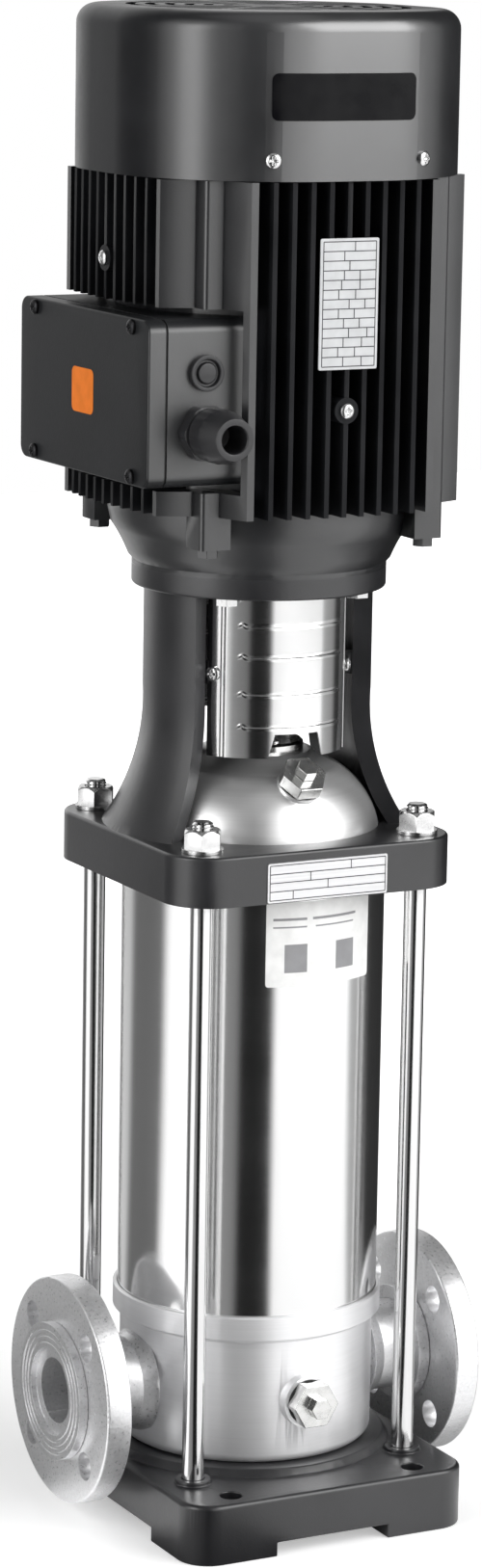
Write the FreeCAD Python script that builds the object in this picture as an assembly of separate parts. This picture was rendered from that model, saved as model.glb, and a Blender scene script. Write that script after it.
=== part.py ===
import FreeCAD
import Part
import math
import os

from FreeCAD import Vector

# Vertical multistage pump: base, stainless pump stack, motor stool and flanged motor.
# Millimetres. Origin at floor level on the pump axis, +Z up, ports along X, front towards -Y.

# Pump casing and sleeve
HOUSING_R = 81.5
HOUSING_WALL = 4.0
HOUSING_FLOOR = 5.0
HOUSING_ROUND = 6.0
HOUSING_HEADROOM = 10.0
SLEEVE_STEP = 2.0
SLEEVE_WALL = 1.5
SLEEVE_LENGTH = 294.0
SEAT_RING_WIDTH = 2.8
SEAT_RING_HEIGHT = 18.0
SEAT_RING_LEDGE = 6.0
SEAT_RING_SLOPE = 3.0
CORD_R = 0.65
CORD_GROOVE_WIDTH = 3.0
CORD_GROOVE_DEPTH = 1.2
CORD_INSET = 4.0

# Ports with lap rings and loose flanges
PORT_BORE_R = 21.0
PORT_RISE = 41.0
PORT_REACH = 58.5
PORT_STEP = 7.0
PORT_STEP_DEPTH = 4.0
STUB_WALL = 8.0
STUB_FLARE = 5.0
STUB_FLARE_LENGTH = 9.0
LAP_WIDTH = 15.0
LAP_THICK = 6.0
LAP_GROOVES = 3
LAP_GROOVE_PITCH = 4.0
LAP_GROOVE_WIDTH = 1.6
LAP_GROOVE_DEPTH = 0.6
FLANGE_R = 72.5
FLANGE_THICK = 17.0
FLANGE_PCD = 110.0
FLANGE_HOLE_R = 9.0
FLANGE_HOLES = 4
FLANGE_ROUND = 1.5
RETAINER_WALL = 9.0
RETAINER_WIDTH = 8.0

# Base
BASE_TOP = 39.0
BASE_MARGIN_X = 24.0
BASE_MARGIN_Y = 48.0
BASE_CORNER_R = 21.0
BASE_EDGE_ROUND = 3.0
BASE_FOOT_WIDTH_X = 60.0
BASE_FOOT_WIDTH_Y = 58.5
BASE_FOOT_HEIGHT = 9.0
BASE_PAD_STEP = 8.5
BASE_PAD_SLOPE = 4.0
BASE_PAD_HEIGHT = 5.0
ANCHOR_EDGE_X = 34.5
ANCHOR_EDGE_Y = 16.0
ANCHOR_HOLE_R = 7.0
ROD_BOSS_R = 11.5
ROD_BOSS_HEIGHT = 3.0

# Plugs with bleed spindles
PLUG_BOSS_WALL = 9.0
DRAIN_BOSS_LENGTH = 6.0
DRAIN_HEX = 27.0
DRAIN_HEX_LENGTH = 10.0
PLUG_THREAD_R = 8.0
PLUG_THREAD_LENGTH = 9.0
SPINDLE_HEX = 12.0
SPINDLE_HEX_LENGTH = 7.0
SPINDLE_R = 3.0
SPINDLE_REACH = 4.0
VENT_TILT = 40.0
VENT_RADIUS = 57.0
VENT_DROP = 7.0
VENT_HEX = 26.0
VENT_HEX_LENGTH = 9.0
VENT_BOSS_RISE = 4.5

# Hydraulic stack
STAGES = 9
STAGE_PITCH = 27.5
STACK_RISE = 16.0
ANNULUS = 14.0
CHAMBER_WALL = 2.0
POT_MARGIN = 14.0
POT_WALL = 2.0
POT_LID = 4.0
DUCT_STEP = 1.5
EYE_R = 24.0
IMPELLER_MARGIN = 13.0
SHROUD = 1.5
BLADES = 6
BLADE_HEIGHT = 8.0
BLADE_THICK = 1.6
BLADE_SWEEP = 62.0
GUIDE_VANES = 8
GUIDE_VANE_THICK = 2.0
GUIDE_VANE_SWEEP = -55.0
GUIDE_SPACE = 8.0
IMPELLER_RISE = 3.0
PUMP_SHAFT_R = 8.0
SPACER_WALL = 3.0
BUSH_WALL = 4.0
BUSH_HOLDER_WALL = 3.0
BUSH_LENGTH = 12.0
SHAFT_NUT_HEX = 24.0
SHAFT_NUT_HEIGHT = 10.0
STRAPS = 4
STRAP_WIDTH = 16.0
STRAP_THICK = 2.0
STRAP_HOOK = 5.0
TOP_CHAMBER_HEIGHT = 20.0
OUTLET_WINDOWS = 8
OUTLET_WINDOW_WIDTH = 34.0

# Head cover and shaft seal
COVER_RIM = 12.0
COVER_WALL = 3.0
COVER_INSET = 5.0
COVER_SHOULDER_R = 52.0
COVER_NECK_R = 35.0
COVER_SHOULDER_RISE = 37.5
COVER_NECK_RISE = 47.5
COVER_NECK_PLATE = 5.0
SKIRT_WALL = 4.0
GLAND_R = 30.0
GLAND_THICK = 6.0
GLAND_SCREW_INSET = 7.0
SEAL_RING_R = 14.0
SEAL_RING_LENGTH = 8.0
SEAL_COLLAR = 10.0
SEAL_SPRING_LENGTH = 9.0

# Motor stool and its fasteners
HEAD_PLATE_MARGIN = 14.5
HEAD_PLATE_THICK = 31.5
HEAD_PLATE_PROUD = 8.5
HEAD_PLATE_CORNER_R = 30.0
STOOL_HEIGHT = 165.5
STOOL_R = 72.0
STOOL_WALL = 12.0
STOOL_FOOT_INSET = 1.0
STOOL_FLARE_RISE = 88.0
STOOL_FLANGE_THICK = 13.0
WINDOW_HALF_ANGLE = 60.0
ROD_INSET = 22.5
ROD_R = 7.0
ROD_DEPTH = 16.0
ROD_PROUD = 4.5
ROD_CHAMFER = 1.2
NUT_ACROSS_FLATS = 22.0
NUT_HEIGHT = 12.0
WASHER_R = 13.0
WASHER_THICK = 2.5
GUARD_INSET = 4.0
GUARD_THICK = 1.0
GUARD_HALF_ANGLE = 61.0
GUARD_HEIGHT = 102.0
GUARD_SLOTS = 4
GUARD_FIRST_SLOT = 20.0
GUARD_SLOT_HEIGHT = 3.0
GUARD_SLOT_PITCH = 21.5
GUARD_SLOT_HALF_ANGLE = 38.0
GUARD_SCREW_HEIGHT = 52.0
GUARD_SCREW_ANGLE = 4.5
NOTCH_HALF_WIDTH = 19.0
NOTCH_HEIGHT = 15.0
NOTCH_SLOPE = 4.0
LUG_THICK = 6.0
LUG_HALF_HEIGHT = 7.0
LUG_HALF_ANGLE = 7.0
WEB_HALF_ANGLE = 3.5

# Coupling
COUPLING_R = 27.0
COUPLING_LENGTH = 86.0
COUPLING_SPLIT = 1.0
COUPLING_CHAMFER = 2.0
SHAFT_GAP = 4.0
CLAMP_EDGE = 17.0
CLAMP_REACH = 6.0
CLAMP_SCREW_R = 4.0
CLAMP_HEAD_R = 6.5
CLAMP_HEAD_HEIGHT = 2.5
CLAMP_NUT_HEX = 11.0
CLAMP_NUT_HEIGHT = 3.0
CLAMP_SEAT = 15.0
PIN_R = 2.5
PIN_RISE = 18.0
PIN_LENGTH = 29.0

# Motor
MOTOR_SHAFT_R = 14.0
SHAFT_EXTENSION = 60.0
SHAFT_TIP_DROP = 40.0
SHAFT_CORE_STEP = 3.0
FAN_SEAT_STEP = 3.0
MOTOR_FLANGE_R = 80.0
MOTOR_FLANGE_PCD = 130.0
SPIGOT_R = 55.0
SPIGOT_HEIGHT = 3.5
SHIELD_HEIGHT = 42.0
SHIELD_STEP = 3.0
FRAME_LENGTH = 210.0
FRAME_TUBE_R = 92.5
FRAME_WALL = 5.0
FIN_COUNT = 11
FIN_THICK = 3.2
FIN_DEPTH = 17.0
FIN_CROWN_R = 400.0
FIN_FIELD_INSET = 23.0
LOBE_SINK = 2.0
LOBE_WIDTH = 20.0
LOBE_ROUND = 3.0
FLAT_MARGIN = 10.0
BOSS_R = 8.0
BOSS_PROUD = 0.5
FRONT_BOSS_RISE = 65.0
LEFT_BOSS_DROP = 59.0
ROTOR_R = 54.0
AIR_GAP = 0.6
CORE_RISE = 40.0
CORE_LENGTH = 110.0
END_RING = 8.0
STATOR_SLOTS = 24
STATOR_SLOT_WIDTH = 5.0
STATOR_YOKE = 15.5
WINDING_INSET = 7.5
WINDING_RISE = 22.0
BEARING_BORE_R = 15.0
BEARING_DEPTH = 16.0
BEARING_WIDTH = 16.0
BEARING_RING = 3.5
LOWER_BEARING_RISE = 14.0
UPPER_BEARING_DROP = 18.0
BALLS = 9
SHIELD_DISC = 8.0
SHIELD_BOSS_WALL = 5.0

# Fan and fan cover
FAN_MARGIN = 6.5
FAN_BLADES = 8
FAN_HEIGHT = 26.0
FAN_RISE = 12.0
FAN_HUB_WALL = 9.0
FAN_BLADE_THICK = 2.6
COVER_OVERHANG = 3.0
COVER_FLAT = 16.5
COVER_LENGTH = 100.0
COVER_SHEET = 1.8
COVER_EDGE_R = 12.0
COVER_OVERLAP = 7.0
COVER_SCREW_X = 51.0
COVER_LUG_WIDTH = 22.0
COVER_LUG_HEIGHT = 11.0
GRILLE_RINGS = 6
GRILLE_HUB_R = 22.0
GRILLE_RIM = 6.5
GRILLE_SPOKES = 8
GRILLE_SPOKE_WIDTH = 6.0

# Terminal box, cable gland and terminals
BOX_PROUD = 14.5
BOX_SADDLE = 33.5
BOX_HALF_WIDTH = 90.0
BOX_HEIGHT = 101.0
BOX_RISE = 62.0
BOX_WALL = 4.0
BOX_CORNER_R = 8.0
LID_DEPTH = 11.5
LID_WALL = 3.0
LID_SCREW_INSET_Y = 22.0
LID_SCREW_INSET_Z = 5.5
LID_EAR_R = 5.5
GASKET_THICK = 1.5
ENTRY_INSET = 6.5
GLAND_RISE = 33.0
GLAND_HOLE_R = 8.5
GLAND_BODY_WALL = 3.5
GLAND_HEX_LENGTH = 9.0
GLAND_THREAD_LENGTH = 22.0
GLAND_NUT_START = 10.0
GLAND_NUT_HEX_LENGTH = 15.0
GLAND_LENGTH = 40.0
PLUG_RISE = 69.0
BLANK_R = 11.0
BLANK_HEIGHT = 4.0
BLANK_SHOULDER = 3.0
BLOCK_THICK = 9.0
BLOCK_HALF_WIDTH = 33.0
BLOCK_HALF_HEIGHT = 21.0
STUD_R = 2.5
STUD_PITCH_Y = 22.0
STUD_PITCH_Z = 22.0
STUD_LENGTH = 9.0
STUD_NUT_HEX = 8.0
STUD_NUT_HEIGHT = 4.0

# Bolts, small screws, seals and plates
BOLT_R = 4.0
BOLT_HEX = 13.0
BOLT_HEAD = 5.5
SHIELD_BOLT_HEX = 12.0
SHIELD_LOBE_HEIGHT = 20.0
SHIELD_BOLT_REACH = 12.0
FLANGE_BOLT_REACH = 9.0
SCREW_HEAD_R = 4.5
SCREW_HEAD_H = 3.0
SCREW_R = 2.5
SCREW_REACH = 10.0
SEAL_THICK = 0.8
PLATE_THICK = 0.8
PUMP_PLATE_WIDTH = 84.0
PUMP_PLATE_HEIGHT = 25.0
PUMP_PLATE_DROP = 6.0
MOTOR_PLATE_WIDTH = 40.0
MOTOR_PLATE_HEIGHT = 79.0
MOTOR_PLATE_RISE = 132.0
BADGE_WIDTH = 37.0
BADGE_HEIGHT = 28.0
BADGE_RISE = 36.0
BADGE_SHIFT = -2.0

# Clearances, and how far a cutting tool runs past a face
SEAT_GAP = 0.05
RUNNING_GAP = 0.05
LOOSE_GAP = 0.5
CLEAR_GAP = 0.3
PAST = 1.0

# Radii and widths that follow from the sizes
SLEEVE_R = HOUSING_R + SLEEVE_STEP
SLEEVE_BORE_R = SLEEVE_R - SLEEVE_WALL
SEAT_RING_R = SLEEVE_R + SEAT_RING_WIDTH
CHAMBER_R = SLEEVE_BORE_R - ANNULUS
CHAMBER_BORE_R = CHAMBER_R - CHAMBER_WALL
POT_R = CHAMBER_R - POT_MARGIN
IMPELLER_R = CHAMBER_R - IMPELLER_MARGIN
SPACER_R = PUMP_SHAFT_R + SPACER_WALL
BUSH_R = SPACER_R + BUSH_WALL
STUB_R = PORT_BORE_R + STUB_WALL
LAP_R = STUB_R + LAP_WIDTH
HALF_LENGTH = HOUSING_R + PORT_REACH
HEAD_PLATE_SIZE = 2 * (SLEEVE_R + HEAD_PLATE_MARGIN)
ROD_SPACING = HEAD_PLATE_SIZE - 2 * ROD_INSET
BASE_WIDTH = ROD_SPACING + 2 * BASE_MARGIN_X
BASE_DEPTH = ROD_SPACING + 2 * BASE_MARGIN_Y
BASE_PAD_R = HOUSING_R + BASE_PAD_STEP
ANCHOR_SPACING_X = BASE_WIDTH - 2 * ANCHOR_EDGE_X
ANCHOR_SPACING_Y = BASE_DEPTH - 2 * ANCHOR_EDGE_Y
COVER_BASE_R = SLEEVE_R - COVER_INSET
STOOL_FOOT_R = HEAD_PLATE_SIZE / 2 - STOOL_FOOT_INSET
STOOL_BORE_R = STOOL_R - STOOL_WALL
GUARD_R = STOOL_BORE_R - GUARD_INSET
PLUG_BOSS_R = PLUG_THREAD_R + PLUG_BOSS_WALL
BEARING_OUTER_R = BEARING_BORE_R + BEARING_DEPTH
BEARING_SEAT_R = BEARING_OUTER_R + SEAT_GAP
FRAME_BORE_R = FRAME_TUBE_R - FRAME_WALL
SHIELD_TOP_R = FRAME_TUBE_R + SHIELD_STEP
FIN_TIP = FRAME_TUBE_R + FIN_DEPTH
LOBE_OUTER = (FRAME_TUBE_R - LOBE_SINK) / math.sqrt(2.0) + LOBE_WIDTH
FIN_FIELD = LOBE_OUTER - FIN_FIELD_INSET
FIN_PITCH = 2 * FIN_FIELD / (FIN_COUNT - 1)
FAN_SEAT_R = MOTOR_SHAFT_R - FAN_SEAT_STEP
FAN_R = FRAME_TUBE_R - FAN_MARGIN
COVER_HALF = FIN_TIP + COVER_OVERHANG
COVER_CORNER_R = COVER_HALF - COVER_FLAT
GRILLE_PITCH = (COVER_HALF - COVER_EDGE_R - GRILLE_RIM - GRILLE_HUB_R) / GRILLE_RINGS
GRILLE_SLOT = GRILLE_PITCH / 2
BOX_FACE_X = FIN_TIP + BOX_PROUD
BOX_BACK_X = FRAME_TUBE_R - BOX_SADDLE
BOX_OPEN_X = BOX_FACE_X - LID_DEPTH - GASKET_THICK
ENTRY_X = FRAME_TUBE_R - ENTRY_INSET
GLAND_BODY_R = GLAND_HOLE_R + GLAND_BODY_WALL
GLAND_THREAD_R = GLAND_BODY_R - 2

# Levels that follow from the sizes
PAD_TOP = BASE_TOP + BASE_PAD_HEIGHT
PORT_HEIGHT = PAD_TOP + PORT_RISE
HOUSING_TOP = PORT_HEIGHT + STUB_R + HOUSING_HEADROOM
HOUSING_FLOOR_TOP = PAD_TOP + HOUSING_FLOOR
SLEEVE_BOTTOM = HOUSING_TOP + SEAT_RING_LEDGE
SLEEVE_TOP = SLEEVE_BOTTOM + SLEEVE_LENGTH
STACK_BOTTOM = HOUSING_TOP + STACK_RISE
STACK_TOP = STACK_BOTTOM + STAGES * STAGE_PITCH
SKIRT_BOTTOM = STACK_TOP + TOP_CHAMBER_HEIGHT
COVER_TOP_OF_RIM = SLEEVE_TOP + COVER_RIM
PLATE_TOP = COVER_TOP_OF_RIM + HEAD_PLATE_PROUD
PLATE_BOTTOM = PLATE_TOP - HEAD_PLATE_THICK
SHOULDER_Z = PLATE_TOP + COVER_SHOULDER_RISE
NECK_TOP = PLATE_TOP + COVER_NECK_RISE
STOOL_TOP = PLATE_TOP + STOOL_HEIGHT
STOOL_FLANGE_Z = STOOL_TOP - STOOL_FLANGE_THICK
GUARD_TOP = STOOL_FLANGE_Z - LOOSE_GAP
GUARD_BOTTOM = GUARD_TOP - GUARD_HEIGHT
GUARD_SCREW_Z = GUARD_BOTTOM + GUARD_SCREW_HEIGHT
SHIELD_TOP = STOOL_TOP + SHIELD_HEIGHT
FRAME_TOP = SHIELD_TOP + FRAME_LENGTH
COVER_BOTTOM = FRAME_TOP - COVER_OVERLAP
FIN_TOP = COVER_BOTTOM - LOOSE_GAP
COVER_TOP = COVER_BOTTOM + COVER_LENGTH
SHAFT_END = STOOL_TOP - SHAFT_EXTENSION
PUMP_SHAFT_TOP = SHAFT_END - SHAFT_GAP
COUPLING_BOTTOM = SHAFT_END - COUPLING_LENGTH * 0.52
COUPLING_TOP = COUPLING_BOTTOM + COUPLING_LENGTH
PIN_Z = COUPLING_BOTTOM + PIN_RISE
CORE_BOTTOM = SHIELD_TOP + CORE_RISE
CORE_TOP = CORE_BOTTOM + CORE_LENGTH
LOWER_BEARING_Z = STOOL_TOP + LOWER_BEARING_RISE
UPPER_BEARING_Z = FRAME_TOP - UPPER_BEARING_DROP
BOX_BOTTOM = STOOL_TOP + BOX_RISE
BOX_TOP = BOX_BOTTOM + BOX_HEIGHT
BOX_MIDDLE = (BOX_BOTTOM + BOX_TOP) / 2
FRONT_BOSS_Z = SHIELD_TOP + FRONT_BOSS_RISE
LEFT_BOSS_Z = FRAME_TOP - LEFT_BOSS_DROP
X_AXIS = Vector(1, 0, 0)
Y_AXIS = Vector(0, 1, 0)
Z_AXIS = Vector(0, 0, 1)


def block(x0, x1, y0, y1, z0, z1):
    """Box between two corners."""
    return Part.makeBox(x1 - x0, y1 - y0, z1 - z0, Vector(x0, y0, z0))


def rod(radius, start, end):
    """Cylinder between two points."""
    line = Vector(*end) - Vector(*start)
    return Part.makeCylinder(radius, line.Length, Vector(*start), line)


def post(radius, z0, z1, x=0.0, y=0.0):
    """Upright cylinder."""
    return rod(radius, (x, y, z0), (x, y, z1))


def pipe(outer, inner, z0, z1, x=0.0, y=0.0):
    """Upright tube."""
    return post(outer, z0, z1, x, y).cut(post(inner, z0, z1, x, y))


def hex_bar(across_flats, start, end):
    """Hexagonal bar between two points."""
    line = Vector(*end) - Vector(*start)
    radius = across_flats / math.sqrt(3.0)
    corners = []
    for k in range(7):
        turn = math.radians(60 * k)
        corners.append(Vector(radius * math.cos(turn), radius * math.sin(turn), 0))
    bar = Part.Face(Part.makePolygon(corners)).extrude(Vector(0, 0, line.Length))
    bar.Placement = FreeCAD.Placement(Vector(*start), FreeCAD.Rotation(Z_AXIS, line))
    return bar


def outline(points):
    """Closed wire in the XZ plane. A point of four numbers is an arc: its middle, then its end."""
    edges = []
    last = Vector(points[0][0], 0, points[0][1])
    for item in list(points[1:]) + [points[0]]:
        end = Vector(item[-2], 0, item[-1])
        if len(item) == 4:
            middle = Vector(item[0], 0, item[1])
            edges.append(Part.Arc(last, middle, end).toShape())
        elif (end - last).Length > 1e-6:
            edges.append(Part.LineSegment(last, end).toShape())
        last = end
    return Part.Wire(edges)


def turned(points):
    """Solid of revolution about Z from an outline of (radius, height) points."""
    return Part.Face(outline(points)).revolve(Vector(0, 0, 0), Z_AXIS, 360)


def sector(outer, inner, z0, z1, middle, half):
    """Part of a ring between two angles, in degrees from +X."""
    return Part.makeCylinder(outer, z1 - z0, Vector(0, 0, z0), Z_AXIS, 2 * half).rotated(
        Vector(0, 0, 0), Z_AXIS, middle - half).cut(post(inner, z0 - 1, z1 + 1))


def round_plate(half_x, half_y, radius, z0, z1):
    """Upright prism with a rounded rectangle as its section."""
    plate = block(-half_x, half_x, -half_y, half_y, z0, z1)
    upright = [e for e in plate.Edges if abs(e.Vertexes[0].Z - e.Vertexes[1].Z) > (z1 - z0) / 2]
    return plate.makeFillet(radius, upright)


def soften(shape, radius, wanted):
    """Fillet of the edges that a test picks."""
    return shape.makeFillet(radius, [e for e in shape.Edges if wanted(e)])


def spun(shape, angle):
    """Copy turned about the pump axis."""
    return shape.rotated(Vector(0, 0, 0), Z_AXIS, angle)


def ring_of(shape, count, start=0.0):
    """Copies evenly round the pump axis."""
    return [spun(shape, start + 360.0 * k / count) for k in range(count)]


def raised(shape, dz):
    """Copy moved up."""
    return shape.translated(Vector(0, 0, dz))


def joined(shapes):
    """One solid from shapes that meet."""
    whole = shapes[0].multiFuse(list(shapes[1:]))
    return whole.removeSplitter()


def flipped_x(shape):
    """Copy on the other side of the YZ plane."""
    return shape.mirror(Vector(0, 0, 0), X_AXIS)


def corners(spacing_x, spacing_y):
    """Centres of a rectangular pattern."""
    return [(sx * spacing_x / 2, sy * spacing_y / 2) for sx in (-1, 1) for sy in (-1, 1)]


def vane(r0, r1, sweep, thick, z0, z1):
    """Backward curved blade from one radius to another."""
    points = []
    for share in (0.0, 0.5, 1.0):
        radius = r0 + (r1 - r0) * share
        turn = math.radians(sweep * share ** 0.8)
        points.append(Vector(radius * math.cos(turn), radius * math.sin(turn), z0))
    shift = Vector(-points[2].y, points[2].x, 0)
    shift.normalize()
    shift.multiply(thick)
    far = [p + shift for p in points]
    edges = [
        Part.Arc(points[0], points[1], points[2]).toShape(),
        Part.LineSegment(points[2], far[2]).toShape(),
        Part.Arc(far[2], far[1], far[0]).toShape(),
        Part.LineSegment(far[0], points[0]).toShape(),
    ]
    return Part.Face(Part.Wire(edges)).extrude(Vector(0, 0, z1 - z0))


def base_plate():
    """Cast base on four corner feet, with a round pad for the housing and a boss for each rod."""
    half_x = BASE_WIDTH / 2
    half_y = BASE_DEPTH / 2
    gap_x = half_x - BASE_FOOT_WIDTH_X
    gap_y = half_y - BASE_FOOT_WIDTH_Y
    base = round_plate(half_x, half_y, BASE_CORNER_R, 0, BASE_TOP)
    base = soften(base, BASE_EDGE_ROUND, lambda e: e.BoundBox.ZMin > BASE_TOP - 0.1)
    pad_foot = BASE_PAD_R + BASE_PAD_SLOPE
    pieces = [base, turned([(0, BASE_TOP - PAST), (pad_foot, BASE_TOP - PAST), (BASE_PAD_R, PAD_TOP),
                            (0, PAD_TOP)])]
    for x, y in corners(ROD_SPACING, ROD_SPACING):
        pieces.append(post(ROD_BOSS_R, BASE_TOP - PAST, BASE_TOP + ROD_BOSS_HEIGHT, x, y))
    base = joined(pieces)
    base = base.cut(block(-gap_x, gap_x, -half_y - PAST, half_y + PAST, -PAST, BASE_FOOT_HEIGHT))
    base = base.cut(block(-half_x - PAST, half_x + PAST, -gap_y, gap_y, -PAST, BASE_FOOT_HEIGHT))
    for x, y in corners(ANCHOR_SPACING_X, ANCHOR_SPACING_Y):
        base = base.cut(post(ANCHOR_HOLE_R, -PAST, BASE_TOP + PAST, x, y))
    for x, y in corners(ROD_SPACING, ROD_SPACING):
        base = base.cut(post(ROD_R + SEAT_GAP, BASE_TOP - ROD_DEPTH, PAD_TOP + PAST, x, y))
    return base


def lap_groove(number):
    """Cutter for one sealing groove in the face of the lap ring on the +X side."""
    radius = LAP_R - LAP_GROOVE_PITCH * (number + 1)
    half = LAP_GROOVE_WIDTH / 2
    floor = (HALF_LENGTH - LAP_GROOVE_DEPTH, 0, PORT_HEIGHT)
    past = (HALF_LENGTH + PAST, 0, PORT_HEIGHT)
    return rod(radius + half, floor, past).cut(rod(radius - half, floor, past))


def port_stubs():
    """Stubs of the two ports, each with its weld collar and its lap ring."""
    face = (HALF_LENGTH, 0, PORT_HEIGHT)
    past = (HALF_LENGTH + PAST, 0, PORT_HEIGHT)
    inner = HOUSING_R - HOUSING_WALL
    collar_foot = Vector(inner + PAST, 0, PORT_HEIGHT)
    collar = Part.makeCone(STUB_R + STUB_FLARE, STUB_R, STUB_FLARE_LENGTH, collar_foot, X_AXIS)
    collar = collar.cut(post(HOUSING_R + SEAT_GAP, PAD_TOP, HOUSING_TOP))
    tube = rod(STUB_R, (inner * 0.8, 0, PORT_HEIGHT), face).cut(post(inner, PAD_TOP, HOUSING_TOP))
    lap = rod(LAP_R, (HALF_LENGTH - LAP_THICK, 0, PORT_HEIGHT), face)
    stub = joined([tube, collar, lap]).cut(rod(PORT_BORE_R, (0, 0, PORT_HEIGHT), past))
    step = (HALF_LENGTH - PORT_STEP_DEPTH, 0, PORT_HEIGHT)
    stub = stub.cut(rod(PORT_BORE_R + PORT_STEP, step, past))
    for number in range(LAP_GROOVES):
        stub = stub.cut(lap_groove(number))
    return Part.makeCompound([stub, flipped_x(stub)])


def bottom_housing():
    """Stainless chamber that joins the two ports to the stack."""
    inner = HOUSING_R - HOUSING_WALL
    bend = HOUSING_ROUND * 0.3
    shell = turned([(0, PAD_TOP), (HOUSING_R - HOUSING_ROUND, PAD_TOP),
                    (HOUSING_R - bend, PAD_TOP + bend, HOUSING_R, PAD_TOP + HOUSING_ROUND),
                    (HOUSING_R, HOUSING_TOP), (0, HOUSING_TOP)])
    body = joined([shell, rod(PLUG_BOSS_R, (0, -inner, PORT_HEIGHT), drain_point(0))])
    body = body.cut(post(inner, HOUSING_FLOOR_TOP, HOUSING_TOP + PAST))
    body = body.cut(rod(STUB_R + SEAT_GAP, (-HALF_LENGTH, 0, PORT_HEIGHT), (HALF_LENGTH, 0, PORT_HEIGHT)))
    return body.cut(rod(PLUG_THREAD_R + SEAT_GAP, drain_point(PAST), (0, -inner * 0.9, PORT_HEIGHT)))


def port_flange(side):
    """Loose flange behind the lap ring."""
    outer = HALF_LENGTH - LAP_THICK - CLEAR_GAP
    back = outer - FLANGE_THICK
    flange = rod(FLANGE_R, (back, 0, PORT_HEIGHT), (outer, 0, PORT_HEIGHT))
    flange = soften(flange, FLANGE_ROUND, lambda e: e.Length > 2 * FLANGE_R)
    past = (outer + PAST, 0, PORT_HEIGHT)
    flange = flange.cut(rod(STUB_R + LOOSE_GAP, (back - PAST, 0, PORT_HEIGHT), past))
    for k in range(FLANGE_HOLES):
        turn = math.radians(45.0 + 360.0 / FLANGE_HOLES * k)
        y = FLANGE_PCD / 2 * math.cos(turn)
        z = PORT_HEIGHT + FLANGE_PCD / 2 * math.sin(turn)
        flange = flange.cut(rod(FLANGE_HOLE_R, (back - PAST, y, z), (outer + PAST, y, z)))
    return flange if side > 0 else flipped_x(flange)


def flange_retainers():
    """Split rings that keep the loose flanges on their stubs."""
    start = HALF_LENGTH - LAP_THICK - FLANGE_THICK - 2 * CLEAR_GAP
    end = start - RETAINER_WIDTH
    ring = rod(STUB_R + RETAINER_WALL, (end, 0, PORT_HEIGHT), (start, 0, PORT_HEIGHT))
    ring = ring.cut(rod(STUB_R + SEAT_GAP, (end - PAST, 0, PORT_HEIGHT), (start + PAST, 0, PORT_HEIGHT)))
    return Part.makeCompound([ring, flipped_x(ring)])


def sleeve_seat_ring():
    """Ring on the housing that takes the lower end of the outer sleeve."""
    top = HOUSING_TOP + SEAT_RING_HEIGHT
    inner = HOUSING_R - HOUSING_WALL
    wall = SLEEVE_R + CLEAR_GAP
    groove = SLEEVE_BOTTOM + CORD_INSET
    groove_top = groove + CORD_GROOVE_WIDTH
    groove_r = wall + CORD_GROOVE_DEPTH
    return turned([(inner, HOUSING_TOP), (HOUSING_R, HOUSING_TOP),
                   (SEAT_RING_R, HOUSING_TOP + SEAT_RING_SLOPE),
                   (SEAT_RING_R, top - 1), (SEAT_RING_R - 1, top), (wall, top),
                   (wall, groove_top), (groove_r, groove_top), (groove_r, groove), (wall, groove),
                   (wall, SLEEVE_BOTTOM), (inner, SLEEVE_BOTTOM)])


def cord_levels():
    """Heights of the sealing cords at the lower and the upper end of the sleeve."""
    half = CORD_GROOVE_WIDTH / 2
    return [SLEEVE_BOTTOM + CORD_INSET + half, SLEEVE_TOP - CORD_INSET - half]


def sleeve_seals():
    """Round sealing cords outside the sleeve."""
    middle = SLEEVE_R + SEAT_GAP + CORD_R
    return Part.makeCompound([Part.makeTorus(middle, CORD_R, Vector(0, 0, z), Z_AXIS)
                              for z in cord_levels()])


def outer_sleeve():
    """Thin stainless sleeve round the stages."""
    return pipe(SLEEVE_R, SLEEVE_BORE_R, SLEEVE_BOTTOM, SLEEVE_TOP)


def inlet_guide():
    """Pot that leads the water from the inlet to the first stage."""
    floor = HOUSING_FLOOR_TOP
    top = STACK_BOTTOM
    lid = top - POT_LID
    duct_bore = PORT_BORE_R + DUCT_STEP
    wall_x = HOUSING_R - HOUSING_WALL
    pot = turned([(0, floor), (POT_R, floor), (POT_R, lid), (CHAMBER_R, lid), (CHAMBER_R, top), (0, top)])
    duct = rod(duct_bore + POT_WALL, (-wall_x, 0, PORT_HEIGHT), (-POT_R + 2 * POT_WALL, 0, PORT_HEIGHT))
    pot = joined([pot, duct.common(post(wall_x - SEAT_GAP, floor, top))])
    pot = pot.cut(post(POT_R - POT_WALL, floor + POT_WALL, lid))
    pot = pot.cut(rod(duct_bore, (-wall_x, 0, PORT_HEIGHT), (0, 0, PORT_HEIGHT)))
    pot = pot.cut(post(EYE_R + POT_WALL, lid - PAST, top + PAST))
    hub = bush_holder(top - BUSH_LENGTH, lid)
    arm = block(BUSH_R + BUSH_HOLDER_WALL / 2, EYE_R + 3 * POT_WALL, -POT_WALL, POT_WALL, lid - POT_LID,
                lid)
    return joined([pot, hub] + ring_of(arm, 3))


def bush_holder(z0, z1):
    """Ring round a guide bush."""
    return pipe(BUSH_R + BUSH_HOLDER_WALL, BUSH_R + SEAT_GAP, z0, z1)


def bush_levels():
    """Bottom of the two guide bushes."""
    return [STACK_BOTTOM - BUSH_LENGTH, STACK_TOP + IMPELLER_RISE]


def guide_bushes():
    """Fixed bearing rings of the pump shaft."""
    bore = SPACER_R + RUNNING_GAP
    return Part.makeCompound([pipe(BUSH_R, bore, z, z + BUSH_LENGTH - PAST) for z in bush_levels()])


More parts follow.
